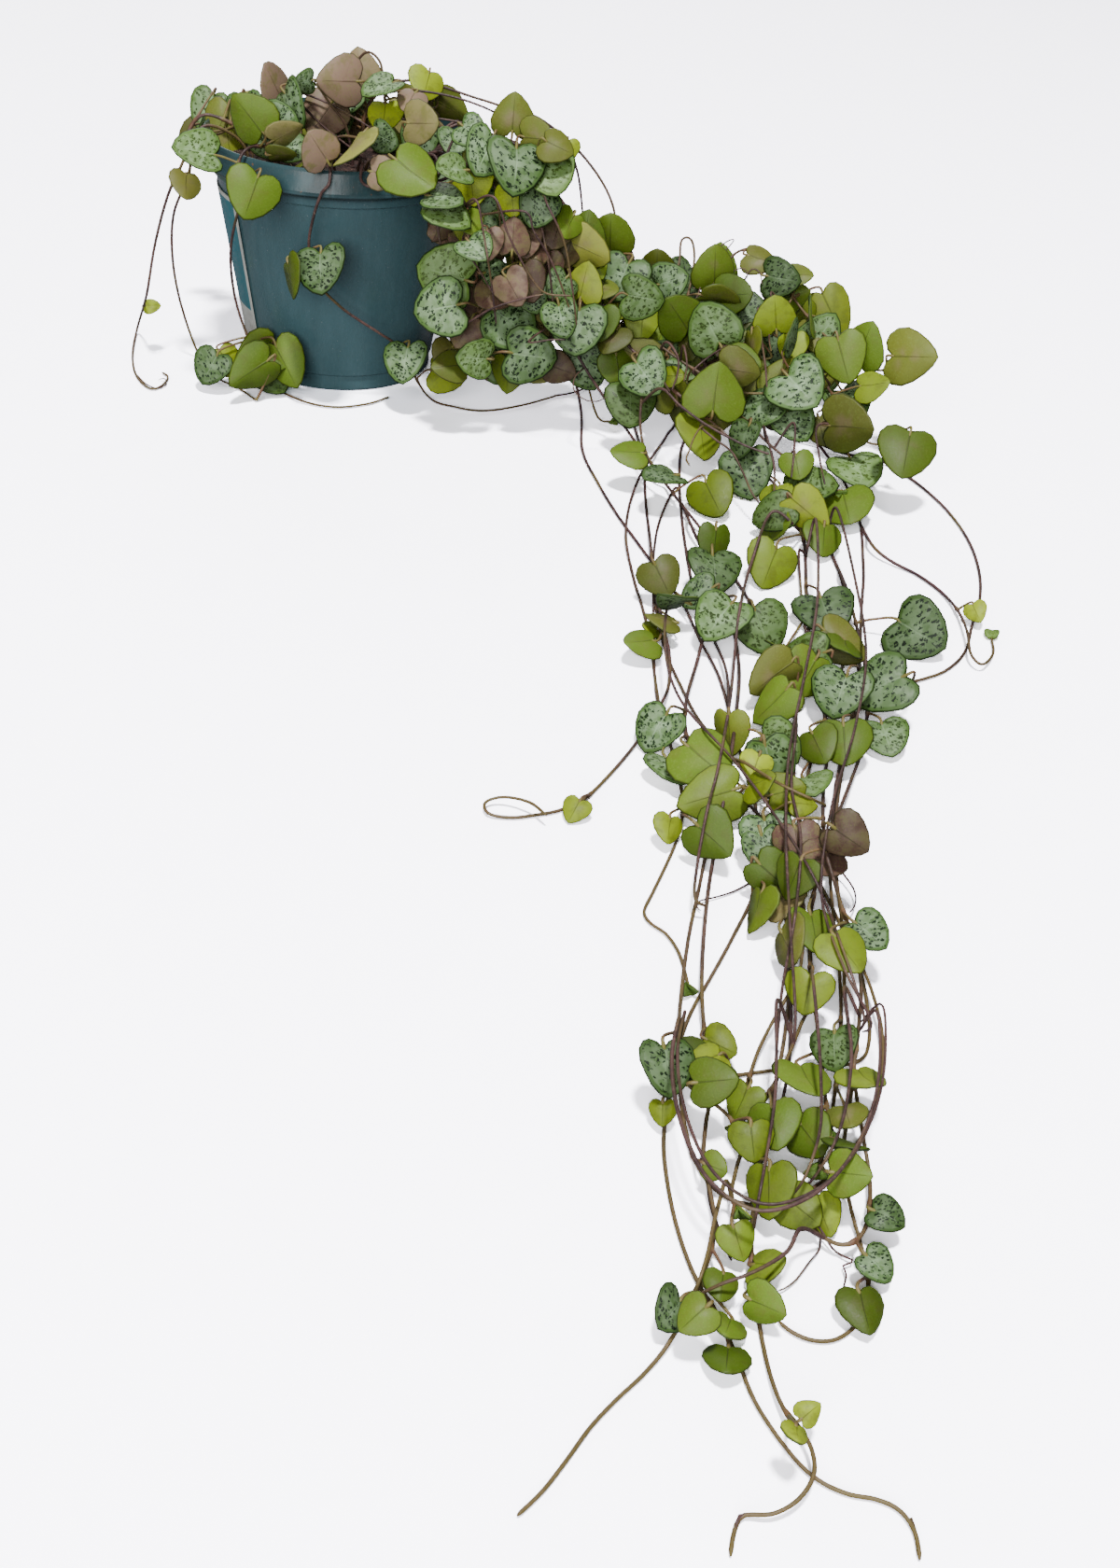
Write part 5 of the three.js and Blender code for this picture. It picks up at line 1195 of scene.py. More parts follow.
def stalk_path(leaf, route):
    """A soft bend from the stem into the notch of a leaf, entering the blade along its midrib."""
    foot = nearest_point(route, leaf["foot"])
    notch = heart_point(0, 0.05, leaf)
    span = distance(foot, leaf["notch"])
    back = min(0.3 * leaf["length"], 0.6 * span)
    bend = plus(leaf["notch"], leaf["midrib"], -back)
    sag = plus(foot, minus(bend, foot), 0.35)
    return smooth_curve([foot, sag, between(bend, leaf["notch"], 0.35), notch], 4)


SWELLING = 0.55
TIP_TAPER = 0.3


def swelling(point, feet, reach):
    """How much of a stem's swelling at a leaf's foot is at a point."""
    near = min((distance(point, foot) for foot in feet), default=9)
    return math.exp(-(near / reach) ** 2)


def vine_lines(parts, leaves, feet, settings):
    """Each stem and each stalk as its points, radii, whether it is a stalk, and its youth if that is one value."""
    lines = []
    for part in parts:
        points = drawn(part["route"], settings.step)
        last = len(points) - 1
        radius = part.get("radius", settings.thickness)
        radii = [radius * (1 - TIP_TAPER * i / last) for i in range(last + 1)]
        radii[-1] *= 0.5
        radii = [value * (1 + SWELLING * swelling(point, feet, 1.3)) for value, point in zip(radii, points)]
        lines.append((points, radii, 0.0, part.get("youth")))
    for leaf in leaves:
        points = stalk_path(leaf, nearest_stem(parts, leaf["foot"])["route"])
        thick = 0.34 + 0.009 * leaf["length"]
        radii = [thick * (1.25 - 0.35 * math.sin(math.pi * i / (len(points) - 1))) for i in range(len(points))]
        radii[-1] *= 0.7
        lines.append((points, radii, 1.0, None))
    return lines


def make_vine(name, parts, leaves, settings):
    """A main stem with its side stems and the stalks of their leaves, as round tapering wires."""
    feet = [leaf["foot"] for leaf in leaves]
    lines = vine_lines(parts, leaves, feet, settings)
    vine = added(name, bpy.ops.curve.primitive_bezier_curve_add)
    curve = vine.data
    curve.splines.clear()
    curve.dimensions = "3D"
    curve.bevel_depth = MM
    curve.bevel_resolution = 2
    curve.use_fill_caps = True
    for points, radii, *_ in lines:
        spline = curve.splines.new("POLY")
        spline.points.add(len(points) - 1)
        spline.points.foreach_set("co", [c for point in points for c in (*times(point, MM), 1.0)])
        spline.points.foreach_set("radius", radii)
    only(vine)
    bpy.ops.object.convert(target="MESH")
    vine = bpy.context.active_object
    places = kdtree.KDTree(sum(len(line[0]) for line in lines))
    facts = []
    for points, _, stalk, youth in lines:
        for i, point in enumerate(points):
            places.insert(times(point, MM), len(facts))
            facts.append((stalk, swelling(point, feet, 1.2), i / (len(points) - 1) if youth is None else youth))
    places.balance()
    read = np.array([facts[places.find(v.co)[1]] for v in vine.data.vertices])
    for key, values in zip(("stalk", "joint", "along"), read.T):
        set_attribute(vine.data, key, values)
    only(vine)
    bpy.ops.object.shade_smooth()
    return vine


# ---------- the leaves ----------

# Half of the heart's outline, from the notch round the right lobe to the tip, for a length of 1.
HALF_OUTLINE = [
    (0, 0.03), (0.11, -0.12), (0.26, -0.185), (0.41, -0.13), (0.52, 0.03), (0.54, 0.26), (0.47, 0.5),
    (0.35, 0.74), (0.185, 0.92), (0, 1.015),
]
HEART_CENTRE = (0.0, 0.34)


def heart_template():
    """One heart, modelled flat: a raised face with a rounded edge above, and the same below."""
    outline = HALF_OUTLINE + [(-x, y) for x, y in HALF_OUTLINE[-2:0:-1]]
    heart = added("heart", bpy.ops.mesh.primitive_circle_add, vertices=len(outline), radius=1, fill_type="NGON")
    set_points(heart.data, [(x, y, 0) for x, y in outline[::-1]])
    start_edit(heart)
    bpy.ops.mesh.normals_make_consistent(inside=False)
    bpy.ops.mesh.select_mode(type="FACE")
    bpy.ops.mesh.select_all(action="SELECT")
    bpy.ops.mesh.duplicate()
    bpy.ops.mesh.flip_normals()
    bpy.ops.mesh.select_all(action="SELECT")
    bpy.ops.mesh.inset(thickness=0.04, depth=0.1, use_individual=True)
    bpy.ops.mesh.poke()
    bpy.ops.mesh.select_mode(type="VERT")
    bpy.ops.mesh.select_all(action="SELECT")
    bpy.ops.mesh.remove_doubles(threshold=0.0001)
    bpy.ops.mesh.normals_make_consistent(inside=False)
    leave_edit()
    points = points_of(heart.data)
    inner = np.abs(points[:, 2]) > 0.05
    middle = inner & (np.hypot(points[:, 0], points[:, 1] - 0.3) < 0.16)
    points[middle, 0], points[middle, 1] = HEART_CENTRE
    points[:, 2] = np.sign(np.round(points[:, 2], 2))
    set_points(heart.data, points)
    set_attribute(heart.data, "rim", np.where(middle, 0.0, np.where(inner, 0.92, 1.0)))
    uv = heart.data.uv_layers.new(name="leaf")
    for loop in heart.data.loops:
        uv.data[loop.index].uv = points[loop.vertex_index][:2]
    for polygon in heart.data.polygons:
        polygon.material_index = int(polygon.center.z < 0)
        polygon.use_smooth = True
    return heart


# How far each kind's underside goes from green through olive and mauve to brown.
UNDER_TONE = {"green": 0.12, "olive": 0.42, "brown": 0.8, "young": 0.05, "marbled": 0.3}
DOME_FOOT = 86  # height over which a leaf is in the dome, where browns are paler and painted shade darkens leaves less


def set_leaf(heart, leaf, number):
    """A copy of the heart in its place: sized, folded along its midrib, and curled from end to end."""
    random = draws(7 + 31 * leaf["number"])
    copy = heart.copy()
    copy.data = heart.data.copy()
    copy.name = f"leaf_{number}"
    bpy.context.collection.objects.link(copy)
    length, width = leaf["length"], leaf["width"] * leaf["length"]
    x, y, z = points_of(copy.data).astype(float).T
    over = y - HEART_CENTRE[1]
    wave = 0.018 * np.sin(5 * np.arctan2(x, over) + 6.3 * random()) * (np.abs(x) > 0.01)
    side = 1 + 0.05 * (random() - 0.5) * np.sign(x)
    taper = np.clip((y - 0.4) / 0.6, 0, 1)
    if leaf["kind"] == "marbled":
        side = side * (1.05 + 0.04 * taper)
    else:
        side = side * (1.02 - 0.28 * random() * taper)
    y = y - 0.12 * random() * np.exp(-(x / 0.08) ** 2) * (y < 0.2)
    lift = 0.7 * leaf["fold"] * (np.sqrt(x * x + 0.0009) - 0.03) * width
    lift = lift - leaf["curl"] * length * (y - CURL_MIDDLE) ** 2
    lift = lift + wave * length * np.hypot(x, y - HEART_CENTRE[1]) + z * half_thickness(length)
    frame_axes = np.array([leaf["across"], leaf["midrib"], leaf["upper"]])
    places = np.stack([x * side * width, y * length, lift], 1) @ frame_axes + np.array(leaf["notch"])
    set_points(copy.data, places * MM)
    set_attribute(copy.data, "seed", 40 * random())
    high = leaf["notch"][2] > DOME_FOOT
    tone = UNDER_TONE[leaf["kind"]] + 0.2 * (not high) * (leaf["kind"] == "brown")
    tone += 0.2 * (random() - 0.5)
    set_attribute(copy.data, "tone", min(max(tone, 0), 1))
    set_attribute(copy.data, "fresh", 0.9 if leaf["kind"] == "young" else 0.55 * max(0, random() - 0.62) / 0.38)
    # a random darkening for each leaf: partly tone that differs from leaf to leaf, partly painted shade, twice as
    # strong below the dome
    set_attribute(copy.data, "deep", random() ** 1.4 * (0.6 if high else 1.2))
    return copy


def make_leaves(name, heart, leaves):
    copies = [set_leaf(heart, leaf, i) for i, leaf in enumerate(leaves)]
    bpy.ops.object.select_all(action="DESELECT")
    for copy in copies:
        copy.select_set(True)
    bpy.context.view_layer.objects.active = copies[0]
    if len(copies) > 1:
        bpy.ops.object.join()
    return named(name)


# ---------- materials ----------

def srgb(red, green, blue):
    """A screen colour of 0 to 255 as the linear colour that a shader takes."""
    return tuple((v / 255 / 12.92) if v <= 10 else ((v / 255 + 0.055) / 1.055) ** 2.4 for v in (red, green, blue))


class Nodes:
    """Short calls for building one material's or group's node tree."""

    def __init__(self, tree):
        self.tree = tree

    def put(self, value, socket):
        if isinstance(value, bpy.types.NodeSocket):
            self.tree.links.new(value, socket)
        else:
            socket.default_value = (*value, 1.0) if socket.type == "RGBA" and len(value) == 3 else value

    def fill(self, made, values, sockets):
        for value, socket in zip(values, sockets):
            self.put(value, socket)
        return made

    def add(self, kind, **inputs):
        made = self.tree.nodes.new(kind)
        return self.fill(made, inputs.values(), [made.inputs[key.replace("_", " ")] for key in inputs])

    def group(self, tree, **inputs):
        made = self.tree.nodes.new("ShaderNodeGroup")
        made.node_tree = tree
        return self.fill(made, inputs.values(), [made.inputs[key] for key in inputs]).outputs

    def math(self, operation, *values):
        made = self.tree.nodes.new("ShaderNodeMath")
        made.operation = operation
        return self.fill(made, values, made.inputs).outputs[0]

    def times(self, *values):
        return self.math("MULTIPLY", *values)

    def plus(self, *values):
        return self.math("ADD", *values)

    def minus(self, *values):
        return self.math("SUBTRACT", *values)

    def ramp(self, value, low, high, to_low=0.0, to_high=1.0):
        """A soft step of a value between two levels."""
        made = self.tree.nodes.new("ShaderNodeMapRange")
        made.interpolation_type = "SMOOTHSTEP"
        return self.fill(made, (value, low, high, to_low, to_high), made.inputs).outputs[0]

    def band(self, value, rise, fall):
        """1 between two soft steps of a value, one that rises and one that falls."""
        return self.times(self.ramp(value, *rise), self.ramp(value, *fall))

    def mix(self, share, first, second, blend="MIX"):
        made = self.tree.nodes.new("ShaderNodeMix")
        made.data_type = "RGBA"
        made.blend_type = blend
        return self.fill(made, (share, first, second), [made.inputs[k] for k in (0, 6, 7)]).outputs[2]

    def tint(self, base, colour, mask, share):
        """A base that turns to a colour where a mask is high, by a share at most."""
        return self.mix(self.times(mask, share), base, colour)

    def attribute(self, name):
        made = self.tree.nodes.new("ShaderNodeAttribute")
        made.attribute_name = name
        return made.outputs["Fac"]

    def noise(self, vector, scale, detail=3.0, rough=0.55, seed=None):
        made = self.add("ShaderNodeTexNoise", Vector=vector, Scale=scale, Detail=detail, Roughness=rough)
        if seed is not None:
            made.noise_dimensions = "4D"
            self.put(seed, made.inputs["W"])
        return made.outputs["Fac"]

    def cells(self, vector, scale):
        return self.add("ShaderNodeTexVoronoi", Vector=vector, Scale=scale).outputs

    def place(self):
        return self.tree.nodes.new("ShaderNodeTexCoord").outputs["Object"]

    def stretched(self, vector, scale):
        return self.add("ShaderNodeMapping", Vector=vector, Scale=scale).outputs[0]


def shared(name, output, build, **inputs):
    """A group of nodes with a vector and some numbers as inputs, built where it is first needed."""
    tree = bpy.data.node_groups.get(name)
    if tree:
        return tree
    tree = bpy.data.node_groups.new(name, "ShaderNodeTree")
    tree.interface.new_socket("Vector", in_out="INPUT", socket_type="NodeSocketVector")
    for key, default in inputs.items():
        tree.interface.new_socket(key, in_out="INPUT", socket_type="NodeSocketFloat").default_value = default
    tree.interface.new_socket(output, in_out="OUTPUT", socket_type="NodeSocketFloat")
    n = Nodes(tree)
    n.put(build(n, tree.nodes.new("NodeGroupInput").outputs), tree.nodes.new("NodeGroupOutput").inputs[output])
    return tree


def fine_grain():
    """A close pebbled skin, as a height."""
    return shared("Fine Grain", "Height", lambda n, given: n.noise(given["Vector"], given["Scale"], 2.0, 0.5),
                  Scale=900.0)


def dust_veil():
    """Patchy dust: a mask that is thicker where a noise gathers and where the amount is high."""
    return shared("Dust Veil", "Mask", lambda n, given: n.times(
        n.ramp(n.noise(given["Vector"], given["Scale"], 5.0, 0.7), 0.42, 0.72), given["Amount"]),
        Amount=0.3, Scale=60.0)


def new_material(name):
    material = bpy.data.materials.new(name)
    material.use_nodes = True
    return material, Nodes(material.node_tree)


def finish(material, n, base, rough, height, depth, **levels):
    """Gives a material its colour, roughness, relief and any other levels of its shader."""
    relief = n.add("ShaderNodeBump", Strength=1.0, Distance=depth, Height=height).outputs["Normal"]
    values = {"Base_Color": base, "Roughness": rough, "Normal": relief, **levels}
    shader = material.node_tree.nodes["Principled BSDF"].inputs
    n.fill(None, values.values(), [shader[key.replace("_", " ")] for key in values])
    return material


# Heights on the pot, m, between which its colour changes: the lip, darkened as painted shade; dust and crumbs at
# the rim; and painted shadow lines under the flange and in the groove at the foot.
LIP_FADE = (0.0835, 0.0862)
DUST_FADE = (0.078, 0.09)
CRUMB_FADE = (0.079, 0.088)
SHADE_LINES = (((0.0812, 0.083), (0.0852, 0.0845), 0.8), ((0.0063, 0.0067), (0.0071, 0.0067), 0.7))


def pot_plastic(settings):
    """Dark green moulded plastic with faint upright streaks, scuffs, dust at the rim, a lip darkened with painted
    shade, and painted shadow lines under the flange and in the groove at the foot.
    """
    material, n = new_material("pot plastic")
    place = n.place()
    height = n.add("ShaderNodeSeparateXYZ", Vector=place).outputs["Z"]
    streaks = n.noise(n.stretched(place, (420, 420, 9)), 1.0, 4.0, 0.6)
    scuffs = n.noise(n.stretched(place, (700, 700, 60)), 1.0, 3.0, 0.7)
    base = n.tint(settings.plastic, settings.plastic_light, n.ramp(streaks, 0.4, 0.8), 0.4)
    base = n.tint(base, settings.plastic_light, n.ramp(n.noise(place, 22, 3.0, 0.5), 0.4, 0.7), 0.4)
    # painted shade: the lip is tinted darker than the wall
    base = n.tint(base, settings.lip_shade, n.ramp(height, *LIP_FADE), 0.85)
    base = n.tint(base, srgb(150, 166, 164), n.ramp(n.noise(place, 900, 1.0), 0.75, 0.78), 0.5)
    dust = n.group(dust_veil(), Vector=place, Scale=170.0, Amount=n.ramp(height, *DUST_FADE, 0.04, 0.14))["Mask"]
    base = n.mix(dust, base, settings.dust)
    crumbs = n.times(n.ramp(n.noise(place, 420, 2.0), 0.7, 0.72), n.ramp(height, *CRUMB_FADE))
    base = n.mix(crumbs, base, settings.dust)
    # painted shadow: a dark line under the flange's lip, and another in the groove at the foot
    for rise, fall, share in SHADE_LINES:
        base = n.tint(base, srgb(20, 34, 38), n.band(height, rise, fall), share)
    rough = n.plus(n.ramp(scuffs, 0.45, 0.75, 0.2, 0.32), n.times(dust, 0.4))
    relief = n.plus(n.times(streaks, 0.6), n.times(scuffs, 0.4))
    return finish(material, n, base, rough, relief, 0.00006, Specular_IOR_Level=0.35)


def potting_soil(settings):
    """Dark reddish peat with paler fibres and grit."""
    material, n = new_material("potting soil")
    place = n.place()
    patches = n.noise(place, 240, 5.0, 0.65)
    base = n.mix(n.ramp(patches, 0.35, 0.65), settings.soil_dark, settings.soil)
    base = n.tint(base, srgb(150, 118, 92), n.ramp(n.noise(place, 700, 2.0), 0.66, 0.7), 0.7)
    relief = n.plus(n.cells(place, 420.0)["Distance"], patches)
    return finish(material, n, base, n.ramp(patches, 0.3, 0.7, 0.82, 0.98), relief, 0.0012)


def label_card(settings):
    """A glossy printed card: a plain coloured field inside a pale border."""
    material, n = new_material("label card")
    field = n.times(n.band(n.attribute("label_across"), (0.03, 0.036), (0.97, 0.964)),
                    n.band(n.attribute("label_up"), (0.24, 0.247), (0.975, 0.968)))
    worn = n.noise(n.place(), 260, 4.0, 0.7)
    ink = n.mix(n.ramp(worn, 0.35, 0.7), settings.field, settings.field_faded)
    card = n.mix(n.ramp(worn, 0.4, 0.75), settings.border, srgb(205, 205, 196))
    return finish(material, n, n.mix(field, card, ink), n.ramp(worn, 0.3, 0.7, 0.3, 0.45), worn, 0.00008)


FLESH = {"Specular_IOR_Level": 0.3, "Subsurface_Weight": 0.06, "Subsurface_Scale": 0.0012}


def leaf_places(n):
    """The leaf's own coordinates: both at once, across, from notch to tip, from its centre up, and the rim."""
    uv = n.tree.nodes.new("ShaderNodeUVMap")
    uv.uv_map = "leaf"
    split = n.add("ShaderNodeSeparateXYZ", Vector=uv.outputs[0]).outputs
    return uv.outputs[0], split["X"], split["Y"], n.minus(split["Y"], HEART_CENTRE[1]), n.attribute("rim")


def marbled_upper(settings):
    """The upper side: silver green, flecked with dark green in paws, greener to the thin dark margin."""
    material, n = new_material("marbled upper side")
    uv, across, up, over, rim = leaf_places(n)
    seed = n.attribute("seed")
    clusters = n.noise(uv, 4.5, 2.0, 0.5, seed)
    fine = n.noise(uv, 22, 1.0, 0.5, seed)
    out = n.math("SQRT", n.plus(n.times(across, across), n.math("POWER", over, 2.0)))
    wobble = n.times(n.minus(fine, 0.5), 0.13)
    spread = n.minus(1.0, n.times(out, 0.16))
    flow = n.add("ShaderNodeCombineXYZ", X=n.times(n.plus(across, wobble), spread),
                 Y=n.times(n.minus(up, wobble), spread), Z=seed).outputs[0]
    spots, paws = n.cells(flow, 15.0), n.cells(flow, 6.0)["Distance"]
    chosen = n.add("ShaderNodeSeparateColor", Color=spots["Color"]).outputs["Red"]
    chosen = n.plus(chosen, n.times(n.band(paws, (0.06, 0.16), (0.5, 0.38)), 0.5))
    near = n.plus(spots["Distance"], n.times(n.minus(n.noise(uv, 46, 1.0, 0.5, seed), 0.5), 0.5))
    fleck = n.times(n.ramp(near, 0.5, 0.38), n.ramp(chosen, 0.52, 0.56))
    zone = n.times(n.ramp(n.plus(rim, n.times(clusters, 0.6)), 0.24, 0.42), n.ramp(rim, 0.93, 0.86))
    dark = n.times(fleck, zone)
    base = n.mix(n.ramp(rim, 0.0, 0.5), settings.silver_light, settings.silver)
    base = n.tint(base, settings.green_ring, n.ramp(clusters, 0.42, 0.65), 0.5)
    base = n.tint(base, settings.green_ring, n.ramp(rim, 0.8, 0.88), 0.8)
    base = n.tint(base, settings.green_ring, n.times(n.ramp(paws, 0.55, 0.3), zone), 0.5)
    base = n.mix(dark, base, settings.fleck)
    vein = n.times(n.ramp(n.math("ABSOLUTE", across), 0.022, 0.006), n.ramp(up, 0.85, 0.5))
    base = n.tint(base, settings.silver_light, vein, 0.6)
    yellow = n.mix(0.6, base, settings.fresh_green, "MULTIPLY")
    base = n.mix(n.attribute("fresh"), base, n.mix(0.35, yellow, settings.fresh_green))
    base = n.mix(n.ramp(rim, 0.94, 0.97), base, settings.margin)
    # painted shade, with some random tone: the colour is multiplied towards the deepening colour by the leaf's
    # share
    base = n.mix(n.attribute("deep"), base, settings.deep, "MULTIPLY")
    grain = n.group(fine_grain(), Vector=n.place(), Scale=2400.0)["Height"]
    relief = n.plus(n.plus(n.times(grain, 0.35), n.times(dark, -0.25)), n.times(vein, -0.6))
    return finish(material, n, base, n.ramp(fine, 0.3, 0.7, 0.4, 0.55), relief, 0.00012, **FLESH,
                  Subsurface_Radius=(0.4, 0.9, 0.2))


def plain_underside(settings):
    """The underside: plain green, olive or mauve, with a fine dark midrib and a darker edge."""
    material, n = new_material("plain underside")
    uv, across, up, over, rim = leaf_places(n)
    seed = n.attribute("seed")
    clouds = n.noise(uv, 3.2, 3.0, 0.6, seed)
    flecks = n.noise(uv, 30, 2.0, 0.6, seed)
    tone = n.plus(n.attribute("tone"), n.times(n.minus(clouds, 0.5), 0.5))
    base = n.mix(n.ramp(tone, 0.12, 0.46), settings.under_green, settings.under_olive)
    base = n.mix(n.ramp(tone, 0.5, 0.78), base, settings.under_mauve)
    base = n.mix(n.ramp(tone, 0.82, 1.02), base, settings.under_brown)
    base = n.mix(n.attribute("fresh"), base, settings.fresh_under)
    base = n.tint(base, settings.under_light, n.ramp(flecks, 0.5, 0.72), 0.3)
    base = n.tint(base, settings.under_olive, n.ramp(clouds, 0.52, 0.36), 0.4)
    blush = n.times(n.ramp(rim, 0.75, 0.1), n.ramp(n.noise(uv, 2.4, 2.0, 0.5, seed), 0.42, 0.62))
    blush = n.times(blush, n.times(n.ramp(tone, 0.1, 0.5, 0.08, 0.5), n.ramp(tone, 1.1, 0.8, 0.3, 1)))
    base = n.mix(blush, base, settings.under_mauve)
    width = n.ramp(up, 0.0, 0.85, 0.024, 0.008)
    vein = n.times(n.ramp(n.math("DIVIDE", n.math("ABSOLUTE", across), width), 1.0, 0.45), n.ramp(up, 0.93, 0.7))
    side_veins = n.math("ABSOLUTE", n.math("SINE", n.times(n.math("ARCTAN2", across, over), 4.5)))
    side_veins = n.times(n.ramp(side_veins, 0.1, 0.0), n.ramp(rim, 0.15, 0.4))
    base = n.tint(base, settings.vein, side_veins, 0.16)
    base = n.tint(base, settings.vein, vein, 0.45)
    base = n.tint(base, settings.under_edge, n.ramp(rim, 0.95, 0.975), 0.7)
    # painted shade, with some random tone: the colour is multiplied towards the deepening colour by the leaf's
    # share
    base = n.mix(n.attribute("deep"), base, settings.deep, "MULTIPLY")
    grain = n.group(fine_grain(), Vector=n.place(), Scale=2000.0)["Height"]
    relief = n.plus(n.times(grain, 0.4), n.times(vein, 0.9))
    return finish(material, n, base, n.ramp(flecks, 0.3, 0.7, 0.42, 0.55), relief, 0.00014, **FLESH,
                  Subsurface_Radius=(0.7, 0.7, 0.2))


def stem_bark(settings):
    """Wiry purple-brown stems, tan where young, with orange-brown joints and stalks."""
    material, n = new_material("stem bark")
    place = n.place()
    along = n.attribute("along")
    patches = n.noise(place, 90, 4.0, 0.65)
    fine = n.noise(place, 900, 3.0, 0.6)
    base = n.mix(n.ramp(patches, 0.38, 0.62), settings.bark, settings.bark_dark)
    base = n.tint(base, settings.bark_green, n.ramp(n.noise(place, 34, 2.0), 0.55, 0.68), 0.6)
    base = n.tint(base, settings.bark_green, n.ramp(along, 0.45, 1.0), 0.7)
    base = n.tint(base, settings.joint, n.attribute("joint"), 0.75)
    stalks = n.mix(n.ramp(patches, 0.4, 0.66), settings.stalk, settings.stalk_green)
    stalks = n.mix(n.ramp(along, 0.6, 1.0), stalks, settings.stalk_green)
    base = n.mix(n.attribute("stalk"), base, stalks)
    base = n.tint(base, srgb(176, 150, 128), n.ramp(fine, 0.55, 0.75), 0.3)
    return finish(material, n, base, n.ramp(fine, 0.3, 0.7, 0.38, 0.6), n.plus(fine, patches), 0.0002)


def for_camera(n, plain, seen):
    """One level for the light that falls on things, and another for what the camera sees."""
    return n.ramp(n.add("ShaderNodeLightPath").outputs["Is Camera Ray"], 0.0, 1.0, plain, seen)


def studio_paper(settings):
    """Plain paper that is seen whiter than it lights the plant."""
    material, n = new_material("studio paper")
    faint = tuple(0.985 * v for v in settings.floor_colour)
    base = n.mix(n.ramp(n.noise(n.place(), 55, 4.0, 0.6), 0.3, 0.7), settings.floor_colour, faint)
    brighter = n.tree.nodes.new("ShaderNodeVectorMath")
    brighter.operation = "SCALE"
    n.fill(None, (base, for_camera(n, 1.0, settings.paper_gain)), (brighter.inputs[0], brighter.inputs["Scale"]))
    matte = n.add("ShaderNodeBsdfDiffuse", Color=brighter.outputs[0])
    n.put(matte.outputs[0], n.tree.nodes["Material Output"].inputs["Surface"])
    return material


# ---------- settings ----------

def colour(name, description, *screen):
    return bpy.props.FloatVectorProperty(name=name, description=description, subtype="COLOR", size=3,
                                         min=0, max=1, default=srgb(*screen))


def level(name, description, default, least=0, **more):
    return bpy.props.FloatProperty(name=name, description=description, default=default, min=least, **more)


def whole(name, description, default, least, most):
    return bpy.props.IntProperty(name=name, description=description, default=default, min=least, max=most)


class HeartsPotSettings(bpy.types.PropertyGroup):
    segments: whole("Segments", "Facets round the pot", 144, 32, 256)
    drain_holes: whole("Drain holes", "Round holes in the pot's floor", 6, 3, 12)
    plastic: colour("Plastic", "Main colour of the moulded plastic", 76, 109, 116)
    plastic_light: colour("Plastic streaks", "Lighter colour of the upright streaks", 89, 123, 130)
    # The lip's colour is darker than the plastic: painted shade on the lip.
    lip_shade: colour("Lip", "Colour of the shaded lip", 50, 76, 80)
    dust: colour("Dust", "Colour of the soil dust that clings to the lip", 118, 94, 76)


class HeartsSoilSettings(bpy.types.PropertyGroup):
    lump_scale: level("Lump scale", "Lumps per millimetre", 0.42, 0.1)
    lump_height: level("Lump height", "Height of the lumps in millimetres", 0.9)
    soil: colour("Peat", "Colour of the peat", 79, 56, 51)
    soil_dark: colour("Wet peat", "Colour of the wet hollows", 44, 30, 28)


class HeartsLabelSettings(bpy.types.PropertyGroup):
    corner: level("Corner", "Rounding of the corners in millimetres", 3.5)
    curl: level("Curl", "How far the front edge stands off the wall, in millimetres", 0.4)
    field: colour("Field", "Colour of the plain printed field", 0, 124, 137)
    field_faded: colour("Faded field", "Colour of the field where it has faded", 30, 134, 146)
    border: colour("Border", "Colour of the card's border", 235, 238, 228)


class HeartsVineSettings(bpy.types.PropertyGroup):
    thickness: level("Thickness", "Radius of a stem at its root in millimetres", 0.63, 0.3, max=1.5)
    step: level("Step", "Distance between rings along a stem in millimetres", 1.2, 0.5)
    bark: colour("Bark", "Main colour of the stems", 102, 74, 70)
    bark_dark: colour("Dark bark", "Darker patches of the stems", 68, 48, 47)
    bark_green: colour("Young bark", "Tan green of younger lengths", 124, 108, 58)
    joint: colour("Joints", "Colour of the swollen joints", 130, 92, 64)
    stalk: colour("Stalks", "Colour of the leaf stalks", 134, 98, 74)
    stalk_green: colour("Young stalks", "Greener colour of the leaf stalks", 136, 130, 66)


class HeartsLeafSettings(bpy.types.PropertyGroup):
    silver: colour("Silver", "Pale ground of the upper side", 146, 174, 130)
    silver_light: colour("Pale silver", "Palest ground along the midrib", 174, 204, 160)
    green_ring: colour("Green ring", "Greener ring inside the margin", 86, 124, 50)
    fleck: colour("Flecks", "Dark flecks of the upper side", 26, 46, 20)
    margin: colour("Margin", "Thin dark margin", 62, 84, 42)
    fresh_green: colour("Fresh green", "Yellow green of a young upper side", 166, 204, 72)
    under_green: colour("Green underside", "Underside of a leaf in the light", 112, 142, 38)
    under_olive: colour("Olive underside", "Underside of an older leaf", 116, 120, 48)
    under_mauve: colour("Mauve underside", "Underside of a leaf grown in sun", 160, 132, 112)
    under_brown: colour("Brown underside", "Underside of the darkest leaves", 114, 82, 72)
    under_light: colour("Underside bloom", "Pale bloom in the underside", 150, 176, 80)
    fresh_under: colour("Fresh underside", "Underside of a young leaf", 186, 206, 44)
    under_edge: colour("Underside edge", "Darker edge of the underside", 78, 84, 40)
    vein: colour("Midrib", "Dark midrib of the underside", 66, 60, 34)
    # Deepening: painted shade, with some random tone, that darkens leaves more below the dome
    deep: colour("Deepening", "What the darkest leaves are multiplied by", 176, 180, 168)


